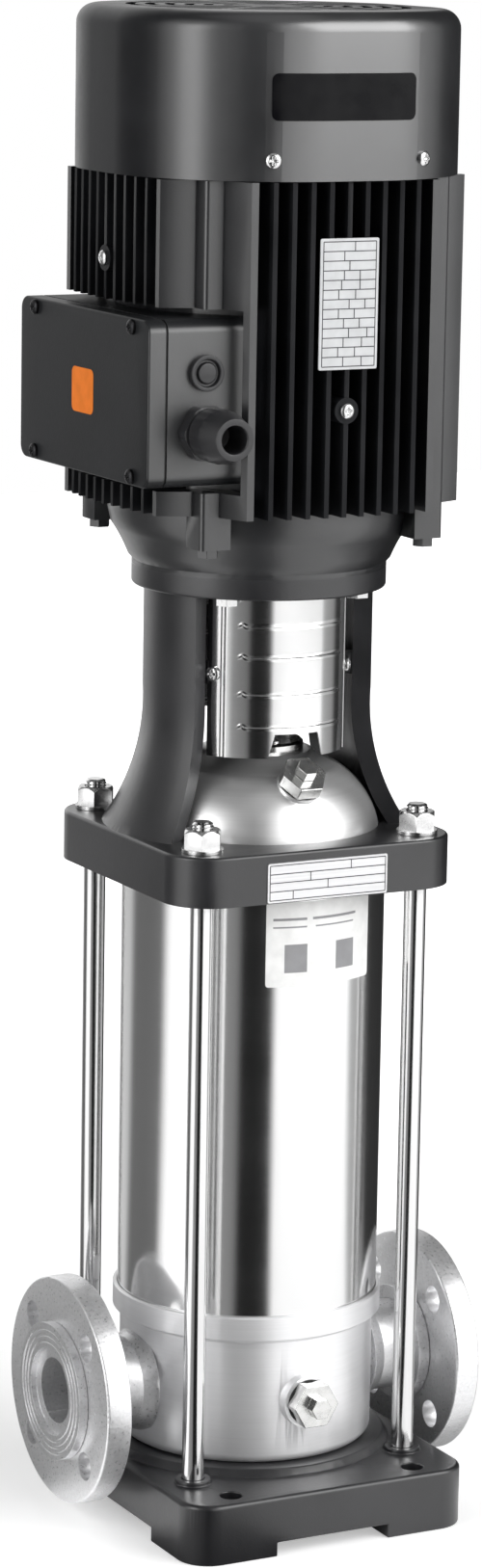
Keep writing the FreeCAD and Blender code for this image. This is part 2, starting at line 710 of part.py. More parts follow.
def bush_sleeves():
    """Turning bearing sleeves on the pump shaft."""
    bore = PUMP_SHAFT_R + SEAT_GAP
    return Part.makeCompound([pipe(SPACER_R, bore, z, z + BUSH_LENGTH - PAST) for z in bush_levels()])


def stage_chamber():
    """One stage chamber at height 0: wall, guide plate, return vanes and the next diaphragm."""
    plate = STAGE_PITCH - GUIDE_SPACE - SHROUD
    floor = STAGE_PITCH - CHAMBER_WALL
    eye = EYE_R + CHAMBER_WALL
    wall = turned([(CHAMBER_BORE_R, 0), (CHAMBER_R, 0), (CHAMBER_R, STAGE_PITCH), (eye, STAGE_PITCH),
                   (eye, floor), (CHAMBER_BORE_R, floor)])
    rim = CHAMBER_BORE_R - 3 * CHAMBER_WALL
    guide = pipe(rim, SPACER_R + SPACER_WALL, plate - SHROUD, plate)
    blade = vane(eye + 2 * CHAMBER_WALL, rim - 1, GUIDE_VANE_SWEEP, GUIDE_VANE_THICK, plate - 0.5,
                 floor + 0.5)
    return joined([wall, guide] + ring_of(blade, GUIDE_VANES))


def stage_chambers():
    """All stage chambers, stacked."""
    one = stage_chamber()
    return Part.makeCompound([raised(one, STACK_BOTTOM + k * STAGE_PITCH) for k in range(STAGES)])


def neck_rings():
    """Wear rings in the eye of each diaphragm."""
    levels = [STACK_BOTTOM - CHAMBER_WALL + k * STAGE_PITCH for k in range(STAGES)]
    outer = EYE_R + CHAMBER_WALL - SEAT_GAP
    return Part.makeCompound([pipe(outer, EYE_R - 1, z, z + CHAMBER_WALL) for z in levels])


def impeller():
    """One closed impeller at height 0, with the heights of its lower and upper end."""
    eye = EYE_R - 1 - CLEAR_GAP
    eye_bore = eye - SHROUD
    bore = PUMP_SHAFT_R + SEAT_GAP
    low = IMPELLER_RISE
    top = low + BLADE_HEIGHT + 2 * SHROUD
    front = turned([(eye_bore, -CHAMBER_WALL), (eye, -CHAMBER_WALL), (eye, low), (IMPELLER_R, low),
                    (IMPELLER_R, low + SHROUD), (eye_bore, low + SHROUD)])
    hub = turned([(bore, low), (SPACER_R + 1, low), (SPACER_R + 5, top - SHROUD - 2),
                  (IMPELLER_R, top - SHROUD), (IMPELLER_R, top), (bore, top)])
    blade = vane(eye - 2 * SHROUD, IMPELLER_R - SHROUD, BLADE_SWEEP, BLADE_THICK, low + SHROUD - 0.3,
                 top - SHROUD + 0.3)
    return joined([front, hub] + ring_of(blade, BLADES)), low, top


def impellers_and_spacers():
    """Impellers on the pump shaft and the distance sleeves between them."""
    one, low, top = impeller()
    bore = PUMP_SHAFT_R + SEAT_GAP
    wheels = []
    spacers = [pipe(SPACER_R, bore, STACK_BOTTOM - PAST, STACK_BOTTOM + low)]
    for k in range(STAGES):
        z = STACK_BOTTOM + k * STAGE_PITCH
        wheels.append(raised(one, z))
        end = z + STAGE_PITCH + low if k + 1 < STAGES else bush_levels()[1]
        spacers.append(pipe(SPACER_R, bore, z + top, end))
    return Part.makeCompound(wheels), Part.makeCompound(spacers)


def shaft_nut():
    """Nut that holds the impellers on the pump shaft."""
    top = STACK_BOTTOM - BUSH_LENGTH
    start = top - SHAFT_NUT_HEIGHT
    return hex_bar(SHAFT_NUT_HEX, (0, 0, start),
                   (0, 0, top)).cut(post(PUMP_SHAFT_R + SEAT_GAP, start - PAST, top + PAST))


def pump_shaft():
    """Shaft of the pump, from the lower nut to the coupling."""
    bottom = STACK_BOTTOM - BUSH_LENGTH - SHAFT_NUT_HEIGHT - 3
    shaft = post(PUMP_SHAFT_R, bottom, PUMP_SHAFT_TOP)
    shaft = shaft.makeChamfer(1.0, [e for e in shaft.Edges if e.Closed])
    return shaft.cut(rod(PIN_R + SEAT_GAP, (0, -PUMP_SHAFT_R - PAST, PIN_Z),
                         (0, PUMP_SHAFT_R + PAST, PIN_Z)))


def top_chamber():
    """Outlet ring on the last stage: windows to the annulus and the upper bush holder."""
    top = SKIRT_BOTTOM
    half = OUTLET_WINDOW_WIDTH / 2
    ring = pipe(CHAMBER_R, CHAMBER_BORE_R, STACK_TOP, top)
    window = block(CHAMBER_BORE_R - 4, CHAMBER_R + 4, -half, half, STACK_TOP + 4, top - 4)
    for cut in ring_of(window, OUTLET_WINDOWS, 180.0 / OUTLET_WINDOWS):
        ring = ring.cut(cut)
    hub = bush_holder(STACK_TOP, bush_levels()[1] + BUSH_LENGTH - PAST)
    arm = block(BUSH_R + BUSH_HOLDER_WALL / 2, CHAMBER_R, -2.5, 2.5, STACK_TOP, STACK_TOP + 4)
    arm = arm.common(post(CHAMBER_BORE_R + CHAMBER_WALL / 2, STACK_TOP, STACK_TOP + 4))
    return joined([ring, hub] + ring_of(arm, 4))


def stack_straps():
    """Straps that pull the stage chambers together."""
    base = STACK_BOTTOM - POT_LID - LOOSE_GAP - STRAP_THICK
    top = SKIRT_BOTTOM + LOOSE_GAP
    face = CHAMBER_R + CLEAR_GAP
    half = STRAP_WIDTH / 2
    strap = block(face, face + STRAP_THICK, -half, half, base, top)
    hook = block(CHAMBER_R - STRAP_HOOK, face + STRAP_THICK, -half, half, base, base + STRAP_THICK)
    return Part.makeCompound(ring_of(joined([strap, hook]), STRAPS, 180.0 / STRAPS))


def cover_profile():
    """Outer line of the head cover, as outline points above its rim."""
    return [(COVER_BASE_R, COVER_TOP_OF_RIM), (COVER_BASE_R, PLATE_TOP),
            (COVER_BASE_R - 8, PLATE_TOP + 20, COVER_SHOULDER_R, SHOULDER_Z),
            (COVER_NECK_R + 6, NECK_TOP - COVER_NECK_PLATE, COVER_NECK_R, NECK_TOP)]


def head_cover():
    """Domed stainless cover with the seal neck and the vent boss."""
    rim = SLEEVE_R + CLEAR_GAP
    bore = CHAMBER_R - SKIRT_WALL
    neck_bore = COVER_NECK_R - COVER_WALL
    outside = [(0, SLEEVE_TOP), (rim, SLEEVE_TOP),
               (rim, COVER_TOP_OF_RIM)] + cover_profile() + [(0, NECK_TOP)]
    skirt = pipe(CHAMBER_R, bore, SKIRT_BOTTOM, SLEEVE_TOP + PAST)
    boss = vent_rod(VENT_HEX / 2 + 1, -10.0, VENT_BOSS_RISE)
    cover = joined([turned(outside), skirt, boss])
    inside = turned([(0, SLEEVE_TOP - PAST), (bore, SLEEVE_TOP - PAST), (bore, COVER_TOP_OF_RIM),
                     (COVER_BASE_R - 8 - 2 * COVER_WALL, PLATE_TOP + 15,
                      COVER_SHOULDER_R - COVER_WALL, SHOULDER_Z - COVER_WALL),
                     (neck_bore, NECK_TOP - 2 * COVER_NECK_PLATE), (neck_bore,
                                                                    NECK_TOP - COVER_NECK_PLATE),
                     (0, NECK_TOP - COVER_NECK_PLATE)])
    cover = cover.cut(inside)
    cover = cover.cut(post(SEAL_RING_R + 1, NECK_TOP - COVER_NECK_PLATE - PAST, NECK_TOP + PAST))
    return cover.cut(vent_rod(PLUG_THREAD_R + SEAT_GAP, -12.0, VENT_BOSS_RISE + PAST))


def vent_point(along):
    """Point on the vent axis at a distance from its seat."""
    turn = math.radians(VENT_TILT)
    return (0, -(VENT_RADIUS + along * math.sin(turn)), SHOULDER_Z - VENT_DROP + along * math.cos(turn))


def vent_rod(radius, start, end):
    """Cylinder along the vent axis."""
    return rod(radius, vent_point(start), vent_point(end))


def vent_plug():
    """Hexagon plug in the head cover."""
    seat = VENT_BOSS_RISE + SEAL_THICK
    body = joined([hex_bar(VENT_HEX, vent_point(seat), vent_point(seat + VENT_HEX_LENGTH)),
                   vent_rod(PLUG_THREAD_R, seat - PLUG_THREAD_LENGTH, seat + PAST)])
    return body.cut(vent_rod(SPINDLE_R + RUNNING_GAP, seat - PLUG_THREAD_LENGTH - PAST,
                             seat + VENT_HEX_LENGTH + PAST))


def vent_spindle():
    """Bleed spindle in the vent plug."""
    top = VENT_BOSS_RISE + SEAL_THICK + VENT_HEX_LENGTH
    head = hex_bar(SPINDLE_HEX, vent_point(top + CLEAR_GAP), vent_point(top + SPINDLE_HEX_LENGTH))
    return joined([head, vent_rod(SPINDLE_R, top - VENT_HEX_LENGTH - SPINDLE_REACH, top + PAST)])


def vent_gasket():
    """Flat seal under the vent plug."""
    ring = vent_rod(VENT_HEX / 2, VENT_BOSS_RISE, VENT_BOSS_RISE + SEAL_THICK)
    return ring.cut(vent_rod(PLUG_THREAD_R + CLEAR_GAP, VENT_BOSS_RISE - PAST,
                             VENT_BOSS_RISE + SEAL_THICK + PAST))


def drain_point(along):
    """Point on the drain axis at a distance from its boss."""
    return (0, -HOUSING_R - DRAIN_BOSS_LENGTH - along, PORT_HEIGHT)


def drain_gasket():
    """Flat seal under the drain plug."""
    ring = rod(DRAIN_HEX / 2 + 1, drain_point(0), drain_point(SEAL_THICK))
    return ring.cut(rod(PLUG_THREAD_R + CLEAR_GAP, drain_point(-PAST), drain_point(SEAL_THICK + PAST)))


def drain_plug():
    """Hexagon plug in the housing."""
    top = SEAL_THICK + DRAIN_HEX_LENGTH
    deep = SEAL_THICK - PLUG_THREAD_LENGTH
    body = joined([hex_bar(DRAIN_HEX, drain_point(SEAL_THICK), drain_point(top)),
                   rod(PLUG_THREAD_R, drain_point(SEAL_THICK + PAST), drain_point(deep))])
    return body.cut(rod(SPINDLE_R + RUNNING_GAP, drain_point(deep - PAST), drain_point(top + PAST)))


def drain_spindle():
    """Bleed spindle in the drain plug."""
    top = SEAL_THICK + DRAIN_HEX_LENGTH
    head = hex_bar(SPINDLE_HEX, drain_point(top + CLEAR_GAP), drain_point(top + SPINDLE_HEX_LENGTH))
    return joined([head, rod(SPINDLE_R, drain_point(top + PAST), drain_point(-SPINDLE_REACH))])


def seal_gland():
    """Plate on the neck that holds the fixed seal ring."""
    hole = PUMP_SHAFT_R + 1.5
    top = NECK_TOP + GLAND_THICK
    plate = turned([(hole, NECK_TOP), (GLAND_R, NECK_TOP), (GLAND_R, top - 1.5), (GLAND_R - 1.5, top),
                    (hole, top)])
    for deep, seat, head in gland_screw_axes():
        plate = plate.cut(rod(SCREW_R + SEAT_GAP, (deep[0], deep[1], NECK_TOP - PAST), head))
    return plate


def gland_screw_axes():
    """Deep end, seat and head end of the three gland screws."""
    reach = GLAND_R - GLAND_SCREW_INSET
    seat = NECK_TOP + GLAND_THICK
    axes = []
    for angle in (30, 150, 270):
        x = reach * math.cos(math.radians(angle))
        y = reach * math.sin(math.radians(angle))
        axes.append([(x, y, z) for z in (NECK_TOP + LOOSE_GAP, seat, seat + SCREW_HEAD_H)])
    return axes


def seal_stationary_ring():
    """Fixed face ring of the shaft seal."""
    return pipe(SEAL_RING_R, PUMP_SHAFT_R + 1, NECK_TOP - SEAL_RING_LENGTH, NECK_TOP)


def seal_rotating_ring():
    """Turning face ring with its drive collar."""
    top = NECK_TOP - SEAL_RING_LENGTH - RUNNING_GAP
    bore = PUMP_SHAFT_R + SEAT_GAP
    step = top - SEAL_COLLAR * 0.4
    return turned([(bore, top - SEAL_COLLAR), (SEAL_RING_R + 2, top - SEAL_COLLAR),
                   (SEAL_RING_R + 2, step),
                   (SEAL_RING_R, step), (SEAL_RING_R, top), (bore, top)])


def seal_spring():
    """Spring pack under the turning ring."""
    top = NECK_TOP - SEAL_RING_LENGTH - RUNNING_GAP - SEAL_COLLAR
    return pipe(SEAL_RING_R, PUMP_SHAFT_R + SEAT_GAP, top - SEAL_SPRING_LENGTH, top)


def stool_outline():
    """Profile of the stool's wall, from the plate to the flange."""
    foot = PLATE_TOP - 0.5
    flare_top = PLATE_TOP + STOOL_FLARE_RISE
    foot_in = STOOL_FOOT_R - STOOL_WALL
    middle = foot + 0.42 * (flare_top - foot)
    bulge = 0.26 * (STOOL_FOOT_R - STOOL_R)
    neck = STOOL_FLANGE_Z + PAST
    return [(foot_in, foot), (STOOL_FOOT_R, foot), (STOOL_R + bulge, middle, STOOL_R, flare_top),
            (STOOL_R, neck),
            (STOOL_BORE_R, neck), (STOOL_BORE_R, flare_top), (STOOL_BORE_R + bulge, middle, foot_in, foot)]


def guard_lugs():
    """Lugs on the legs that the guard screws go into."""
    z0 = GUARD_SCREW_Z - LUG_HALF_HEIGHT
    z1 = GUARD_SCREW_Z + LUG_HALF_HEIGHT
    seat = GUARD_R - GUARD_THICK - SEAT_GAP
    lugs = []
    for side in (0, 180):
        for sign in (-1, 1):
            tip = side + sign * (90 - GUARD_HALF_ANGLE + GUARD_SCREW_ANGLE)
            lugs.append(sector(seat, seat - LUG_THICK, z0, z1, tip, LUG_HALF_ANGLE))
            web_at = side + sign * (90 - GUARD_HALF_ANGLE - 5)
            lugs.append(sector(STOOL_BORE_R + PAST, seat - LUG_THICK, z0, z1, web_at, WEB_HALF_ANGLE))
    return lugs


def motor_stool():
    """Cast stool: square head plate, two flared legs and the motor flange."""
    half = HEAD_PLATE_SIZE / 2
    plate = round_plate(half, half, HEAD_PLATE_CORNER_R, PLATE_BOTTOM, PLATE_TOP)
    plate = soften(plate, 2.0, lambda e: e.BoundBox.ZMin > PLATE_TOP - 0.1)
    recess = SLEEVE_R + LOOSE_GAP
    groove = cord_levels()[1] - CORD_GROOVE_WIDTH / 2
    groove_r = recess + CORD_GROOVE_DEPTH
    groove_top = groove + CORD_GROOVE_WIDTH
    plate = plate.cut(turned([(0, PLATE_BOTTOM - PAST), (recess, PLATE_BOTTOM - PAST), (recess, groove),
                              (groove_r, groove), (groove_r, groove_top), (recess, groove_top),
                              (recess, COVER_TOP_OF_RIM), (0, COVER_TOP_OF_RIM)]))
    plate = plate.cut(post(COVER_BASE_R + LOOSE_GAP, PLATE_BOTTOM, PLATE_TOP + PAST))
    legs = turned(stool_outline())
    for middle in (90, 270):
        legs = legs.cut(sector(2 * STOOL_FOOT_R, 1, PLATE_TOP - 2, STOOL_FLANGE_Z + 2, middle,
                               WINDOW_HALF_ANGLE))
    flange = post(MOTOR_FLANGE_R, STOOL_FLANGE_Z, STOOL_TOP)
    flange = soften(flange, 2.0, lambda e: e.BoundBox.ZMax < STOOL_FLANGE_Z + 0.1 and e.Closed)
    stool = joined([plate, legs, flange] + guard_lugs())
    stool = stool.cut(post(STOOL_BORE_R - STOOL_WALL, STOOL_FLANGE_Z - PAST, STOOL_TOP + PAST))
    stool = stool.cut(post(SPIGOT_R + SEAT_GAP, STOOL_TOP - SPIGOT_HEIGHT - 1, STOOL_TOP + PAST))
    for x, y in corners(ROD_SPACING, ROD_SPACING):
        stool = stool.cut(post(ROD_R + LOOSE_GAP, PLATE_BOTTOM - PAST, PLATE_TOP + PAST, x, y))
    for x, y in motor_bolt_spots():
        stool = stool.cut(post(BOLT_R + LOOSE_GAP, STOOL_FLANGE_Z - PAST, STOOL_TOP + PAST, x, y))
    for deep, seat, head in guard_screw_axes():
        stool = stool.cut(rod(SCREW_R + SEAT_GAP, deep, seat))
    return stool


def motor_bolt_spots():
    """Centres of the motor flange bolts."""
    spacing = MOTOR_FLANGE_PCD / math.sqrt(2.0)
    return corners(spacing, spacing)


def hex_bolt(across, x, y, seat, top):
    """Upright bolt with its head under a seat and its end at the top."""
    return joined([hex_bar(across, (x, y, seat - BOLT_HEAD), (x, y, seat)),
                   post(BOLT_R, seat - PAST, top, x, y)])


def hexagon_bolts():
    """Bolts up into the motor flange, then those through the lobes of the drive end shield."""
    bolts = [hex_bolt(BOLT_HEX, x, y, STOOL_FLANGE_Z, STOOL_TOP + FLANGE_BOLT_REACH)
             for x, y in motor_bolt_spots()]
    seat = SHIELD_TOP - SHIELD_LOBE_HEIGHT
    bolts += [hex_bolt(SHIELD_BOLT_HEX, x, y, seat, SHIELD_TOP + SHIELD_BOLT_REACH)
              for x, y in shield_screw_spots()]
    return Part.makeCompound(bolts)


def staybolts():
    """Four long rods from the base through the head plate."""
    top = PLATE_TOP + WASHER_THICK + NUT_HEIGHT + ROD_PROUD
    rods = []
    for x, y in corners(ROD_SPACING, ROD_SPACING):
        one = post(ROD_R, BASE_TOP - ROD_DEPTH, top, x, y)
        rods.append(one.makeChamfer(ROD_CHAMFER, [e for e in one.Edges if e.Closed]))
    return Part.makeCompound(rods)


def staybolt_washers():
    """Washers on the head plate."""
    return Part.makeCompound([pipe(WASHER_R, ROD_R + CLEAR_GAP, PLATE_TOP, PLATE_TOP + WASHER_THICK, x, y)
                              for x, y in corners(ROD_SPACING, ROD_SPACING)])


def staybolt_nuts():
    """Nuts on the washers, their upper corners chamfered."""
    seat = PLATE_TOP + WASHER_THICK
    top = seat + NUT_HEIGHT
    middle = seat + NUT_HEIGHT / 2
    narrow = NUT_ACROSS_FLATS / 2 - 0.5
    nuts = []
    for x, y in corners(ROD_SPACING, ROD_SPACING):
        nut = hex_bar(NUT_ACROSS_FLATS, (x, y, seat), (x, y, top))
        cone = Part.makeCone(narrow + 5, narrow, NUT_HEIGHT / 2, Vector(x, y, middle), Z_AXIS)
        nut = nut.common(joined([cone, post(NUT_ACROSS_FLATS, seat, middle, x, y)]))
        nuts.append(nut.cut(post(ROD_R + SEAT_GAP, seat - PAST, top + PAST, x, y)))
    return Part.makeCompound(nuts)


def guard_screw_axes():
    """Deep end, seat and head end of the guard screws."""
    axes = []
    for side in (0, 180):
        for sign in (-1, 1):
            turn = math.radians(side + sign * (90 - GUARD_HALF_ANGLE + GUARD_SCREW_ANGLE))
            reach = [GUARD_R - GUARD_THICK - LUG_THICK - 1, GUARD_R, GUARD_R + SCREW_HEAD_H]
            axes.append([(r * math.cos(turn), r * math.sin(turn), GUARD_SCREW_Z) for r in reach])
    return axes


def guard_cells():
    """Heights and angles of the fields that the guard is put together from, without its slots."""
    levels = [GUARD_BOTTOM]
    for k in range(GUARD_SLOTS):
        middle = GUARD_BOTTOM + GUARD_FIRST_SLOT + k * GUARD_SLOT_PITCH
        levels += [middle - GUARD_SLOT_HEIGHT / 2, middle + GUARD_SLOT_HEIGHT / 2]
    levels.append(GUARD_TOP)
    side = (GUARD_HALF_ANGLE - GUARD_SLOT_HALF_ANGLE) / 2
    edge = GUARD_SLOT_HALF_ANGLE + side
    cells = []
    for row in range(len(levels) - 1):
        fields = [(-edge, side), (edge, side)]
        if row % 2 == 0:
            fields.append((0.0, GUARD_SLOT_HALF_ANGLE))
        cells += [(levels[row], levels[row + 1], angle, half) for angle, half in fields]
    return cells


def coupling_guard(middle):
    """Curved guard sheet in one window of the stool."""
    inner = GUARD_R - GUARD_THICK
    cells = [sector(GUARD_R, inner, z0, z1, middle + angle, half) for z0, z1, angle, half in guard_cells()]
    guard = cells[0].multiFuse(cells[1:])
    low = GUARD_BOTTOM - PAST
    high = GUARD_BOTTOM + NOTCH_HEIGHT
    notch_top = NOTCH_HALF_WIDTH - NOTCH_SLOPE
    notch = Part.Face(outline([(-NOTCH_HALF_WIDTH, low), (NOTCH_HALF_WIDTH, low), (notch_top, high),
                               (-notch_top, high)])).extrude(Vector(0, GUARD_R + PAST, 0))
    guard = guard.cut(spun(notch, middle - 90))
    for deep, seat, head in guard_screw_axes():
        guard = guard.cut(rod(SCREW_R + CLEAR_GAP, deep, head))
    return guard


def pan_screw(deep, seat, head):
    """Small screw along its axis: shank from its deep end to the seat, then the head."""
    return joined([rod(SCREW_HEAD_R, seat, head), rod(SCREW_R, deep, seat)])


def pan_head_screws():
    """Small screws of the gland, the guards, the fan cover, the lid and the two frame bosses."""
    axes = gland_screw_axes() + guard_screw_axes() + cover_screw_axes()
    axes += lid_screw_axes() + boss_screw_axes()
    return Part.makeCompound([pan_screw(*axis) for axis in axes])


def coupling_half(side):
    """One half of the split clamp coupling."""
    past = COUPLING_R + PAST
    body = post(COUPLING_R, COUPLING_BOTTOM, COUPLING_TOP)
    body = body.makeChamfer(COUPLING_CHAMFER, [e for e in body.Edges if e.Closed])
    body = body.cut(post(PUMP_SHAFT_R + SEAT_GAP, COUPLING_BOTTOM - PAST, SHAFT_END))
    body = body.cut(post(MOTOR_SHAFT_R + SEAT_GAP, SHAFT_END - PAST, COUPLING_TOP + PAST))
    body = body.common(block(-past, past, COUPLING_SPLIT / 2, past, COUPLING_BOTTOM, COUPLING_TOP))
    body = body.cut(rod(PIN_R + SEAT_GAP, (0, 0, PIN_Z), (0, PIN_LENGTH / 2 + LOOSE_GAP, PIN_Z)))
    for x, z in coupling_screw_spots():
        body = body.cut(rod(CLAMP_SCREW_R + SEAT_GAP, (x, 0, z), (x, past, z)))
        body = body.cut(rod(CLAMP_HEAD_R + 0.1, (x, CLAMP_SEAT, z), (x, past, z)))
    return body if side > 0 else body.mirror(Vector(0, 0, 0), Y_AXIS)


def coupling_screw_spots():
    """Centres of the clamp screws in the XZ plane."""
    reach = MOTOR_SHAFT_R + CLAMP_REACH
    return [(x, z) for x in (-reach, reach)
            for z in (COUPLING_BOTTOM + CLAMP_EDGE, COUPLING_TOP - CLAMP_EDGE)]


def coupling_screws():
    """Clamp screws of the coupling with their nuts."""
    head = -CLAMP_SEAT - CLAMP_HEAD_HEIGHT
    screws = []
    for x, z in coupling_screw_spots():
        screws.append(joined([rod(CLAMP_HEAD_R, (x, head, z), (x, -CLAMP_SEAT, z)),
                              rod(CLAMP_SCREW_R, (x, -CLAMP_SEAT - PAST, z), (x, CLAMP_SEAT + PAST, z)),
                              hex_bar(CLAMP_NUT_HEX, (x, CLAMP_SEAT, z),
                                      (x, CLAMP_SEAT + CLAMP_NUT_HEIGHT, z))]))
    return Part.makeCompound(screws)


def coupling_pin():
    """Cross pin that locks the pump shaft in the coupling."""
    return rod(PIN_R, (0, -PIN_LENGTH / 2, PIN_Z), (0, PIN_LENGTH / 2, PIN_Z))


def motor_shaft():
    """Stepped motor shaft."""
    tip = COVER_TOP - SHAFT_TIP_DROP
    seat = BEARING_BORE_R - SEAT_GAP
    core = BEARING_BORE_R + SHAFT_CORE_STEP
    lower = LOWER_BEARING_Z + BEARING_WIDTH
    upper = UPPER_BEARING_Z + BEARING_WIDTH + SHAFT_CORE_STEP
    return turned([(0, SHAFT_END), (MOTOR_SHAFT_R - 1, SHAFT_END), (MOTOR_SHAFT_R, SHAFT_END + 1),
                   (MOTOR_SHAFT_R, STOOL_TOP), (seat, STOOL_TOP), (seat, lower), (core, lower),
                   (core, UPPER_BEARING_Z), (seat, UPPER_BEARING_Z), (seat, upper), (FAN_SEAT_R, upper),
                   (FAN_SEAT_R, tip), (0, tip)])


def rotor_core():
    """Laminated rotor with its cast end rings."""
    outer = ROTOR_R - SHAFT_CORE_STEP
    inner = ROTOR_R - 2 * END_RING - 2
    return joined([pipe(ROTOR_R, BEARING_BORE_R + SHAFT_CORE_STEP + SEAT_GAP, CORE_BOTTOM, CORE_TOP),
                   pipe(outer, inner, CORE_BOTTOM - END_RING, CORE_BOTTOM + PAST),
                   pipe(outer, inner, CORE_TOP - PAST, CORE_TOP + END_RING)])


def bearing_levels():
    """Bottom of the two motor bearings."""
    return [LOWER_BEARING_Z, UPPER_BEARING_Z]


def bearing_inner_rings():
    """Inner rings, on the shaft."""
    return Part.makeCompound([pipe(BEARING_BORE_R + BEARING_RING, BEARING_BORE_R, z, z + BEARING_WIDTH)
                              for z in bearing_levels()])


def bearing_outer_rings():
    """Outer rings, in the end shields."""
    return Part.makeCompound([pipe(BEARING_OUTER_R, BEARING_OUTER_R - BEARING_RING, z, z + BEARING_WIDTH)
                              for z in bearing_levels()])


def bearing_balls():
    """Balls between the rings."""
    track = (BEARING_BORE_R + BEARING_OUTER_R) / 2
    radius = (BEARING_OUTER_R - BEARING_BORE_R) / 2 - BEARING_RING - RUNNING_GAP
    balls = []
    for z in bearing_levels():
        ball = Part.makeSphere(radius, Vector(track, 0, z + BEARING_WIDTH / 2))
        balls += ring_of(ball, BALLS)
    return Part.makeCompound(balls)


def drive_end_shield():
    """Lower end shield with the motor flange, the spigot and the bearing seat."""
    top = SHIELD_TOP
    low = STOOL_TOP
    bearing_top = LOWER_BEARING_Z + BEARING_WIDTH
    flare = SHIELD_TOP_R - MOTOR_FLANGE_R
    outside = turned([(0, low - SPIGOT_HEIGHT), (SPIGOT_R, low - SPIGOT_HEIGHT), (SPIGOT_R, low),
                      (MOTOR_FLANGE_R, low), (MOTOR_FLANGE_R, low + SHIELD_HEIGHT * 0.07),
                      (MOTOR_FLANGE_R + flare * 0.17, low + SHIELD_HEIGHT * 0.14),
                      (MOTOR_FLANGE_R + flare * 0.35, low + SHIELD_HEIGHT * 0.29,
                       MOTOR_FLANGE_R + flare * 0.87, low + SHIELD_HEIGHT * 0.62),
                      (SHIELD_TOP_R, low + SHIELD_HEIGHT * 0.83), (SHIELD_TOP_R, top), (0, top)])
    shield = joined([outside] + ring_of(corner_lobe(top - SHIELD_LOBE_HEIGHT, top), 4))
    boss_r = BEARING_SEAT_R + SHIELD_BOSS_WALL
    inside = turned([(0, low + 8), (boss_r, low + 8), (boss_r, bearing_top + 1),
                     (SHIELD_TOP_R - 16, bearing_top + 1),
                     (SHIELD_TOP_R - 8, top + PAST), (0, top + PAST)])
    boss = pipe(boss_r + 1, BEARING_BORE_R, low + 7, bearing_top)
    shield = joined([shield.cut(inside), boss])
    shield = shield.cut(post(BEARING_SEAT_R, LOWER_BEARING_Z, bearing_top + 2))
    shield = shield.cut(post(BEARING_BORE_R + 1, low - SPIGOT_HEIGHT - PAST, LOWER_BEARING_Z + PAST))
    for x, y in motor_bolt_spots():
        shield = shield.cut(post(BOLT_R + SEAT_GAP, low - PAST, low + FLANGE_BOLT_REACH + 1, x, y))
    for x, y in shield_screw_spots():
        shield = shield.cut(post(BOLT_R + SEAT_GAP, top - SHIELD_LOBE_HEIGHT - PAST, top + PAST, x, y))
    return shield


def corner_lobe(z0, z1):
    """Square corner column of the frame and the shield, on the front right."""
    inner = LOBE_OUTER - LOBE_WIDTH
    lobe = block(inner, LOBE_OUTER, -LOBE_OUTER, -inner, z0, z1)
    corner = LOBE_OUTER - 0.1
    return soften(lobe, LOBE_ROUND, lambda e: e.BoundBox.XMin > corner and e.BoundBox.YMax < -corner)


def shield_screw_spots():
    """Centres of the screws through the corner lobes."""
    spacing = 2 * LOBE_OUTER - LOBE_WIDTH + 2
    return corners(spacing, spacing)


def fin_tip(offset):
    """Distance of a fin's tip from the axis, on the crown arc."""
    return math.sqrt(FIN_CROWN_R ** 2 - offset ** 2) - FIN_CROWN_R + FIN_TIP


def tube_face(offset):
    """Depth of a root that starts inside the frame's tube."""
    return math.sqrt(FRAME_TUBE_R ** 2 - offset ** 2) - FRAME_WALL / 2


def fin(offset, z0, z1):
    """One cooling fin on the front side."""
    half = FIN_THICK / 2
    return block(offset - half, offset + half, -fin_tip(offset), -tube_face(abs(offset) + FIN_THICK), z0,
                 z1)


def corner_wall(z0, z1):
    """Smooth slanted wall from the outer fin to the corner lobe, on the front right."""
    near = FIN_FIELD - 1
    far = LOBE_OUTER - LOBE_WIDTH * 0.6
    root = -tube_face(far)
    tip = -fin_tip(FIN_FIELD)
    points = [(near, root), (near, tip), (FIN_FIELD + FIN_THICK, tip), (far, -LOBE_OUTER - 1.5),
              (far, root), (near, root)]
    return Part.Face(Part.makePolygon([Vector(x, y, z0)
                                       for x, y in points])).extrude(Vector(0, 0, z1 - z0))


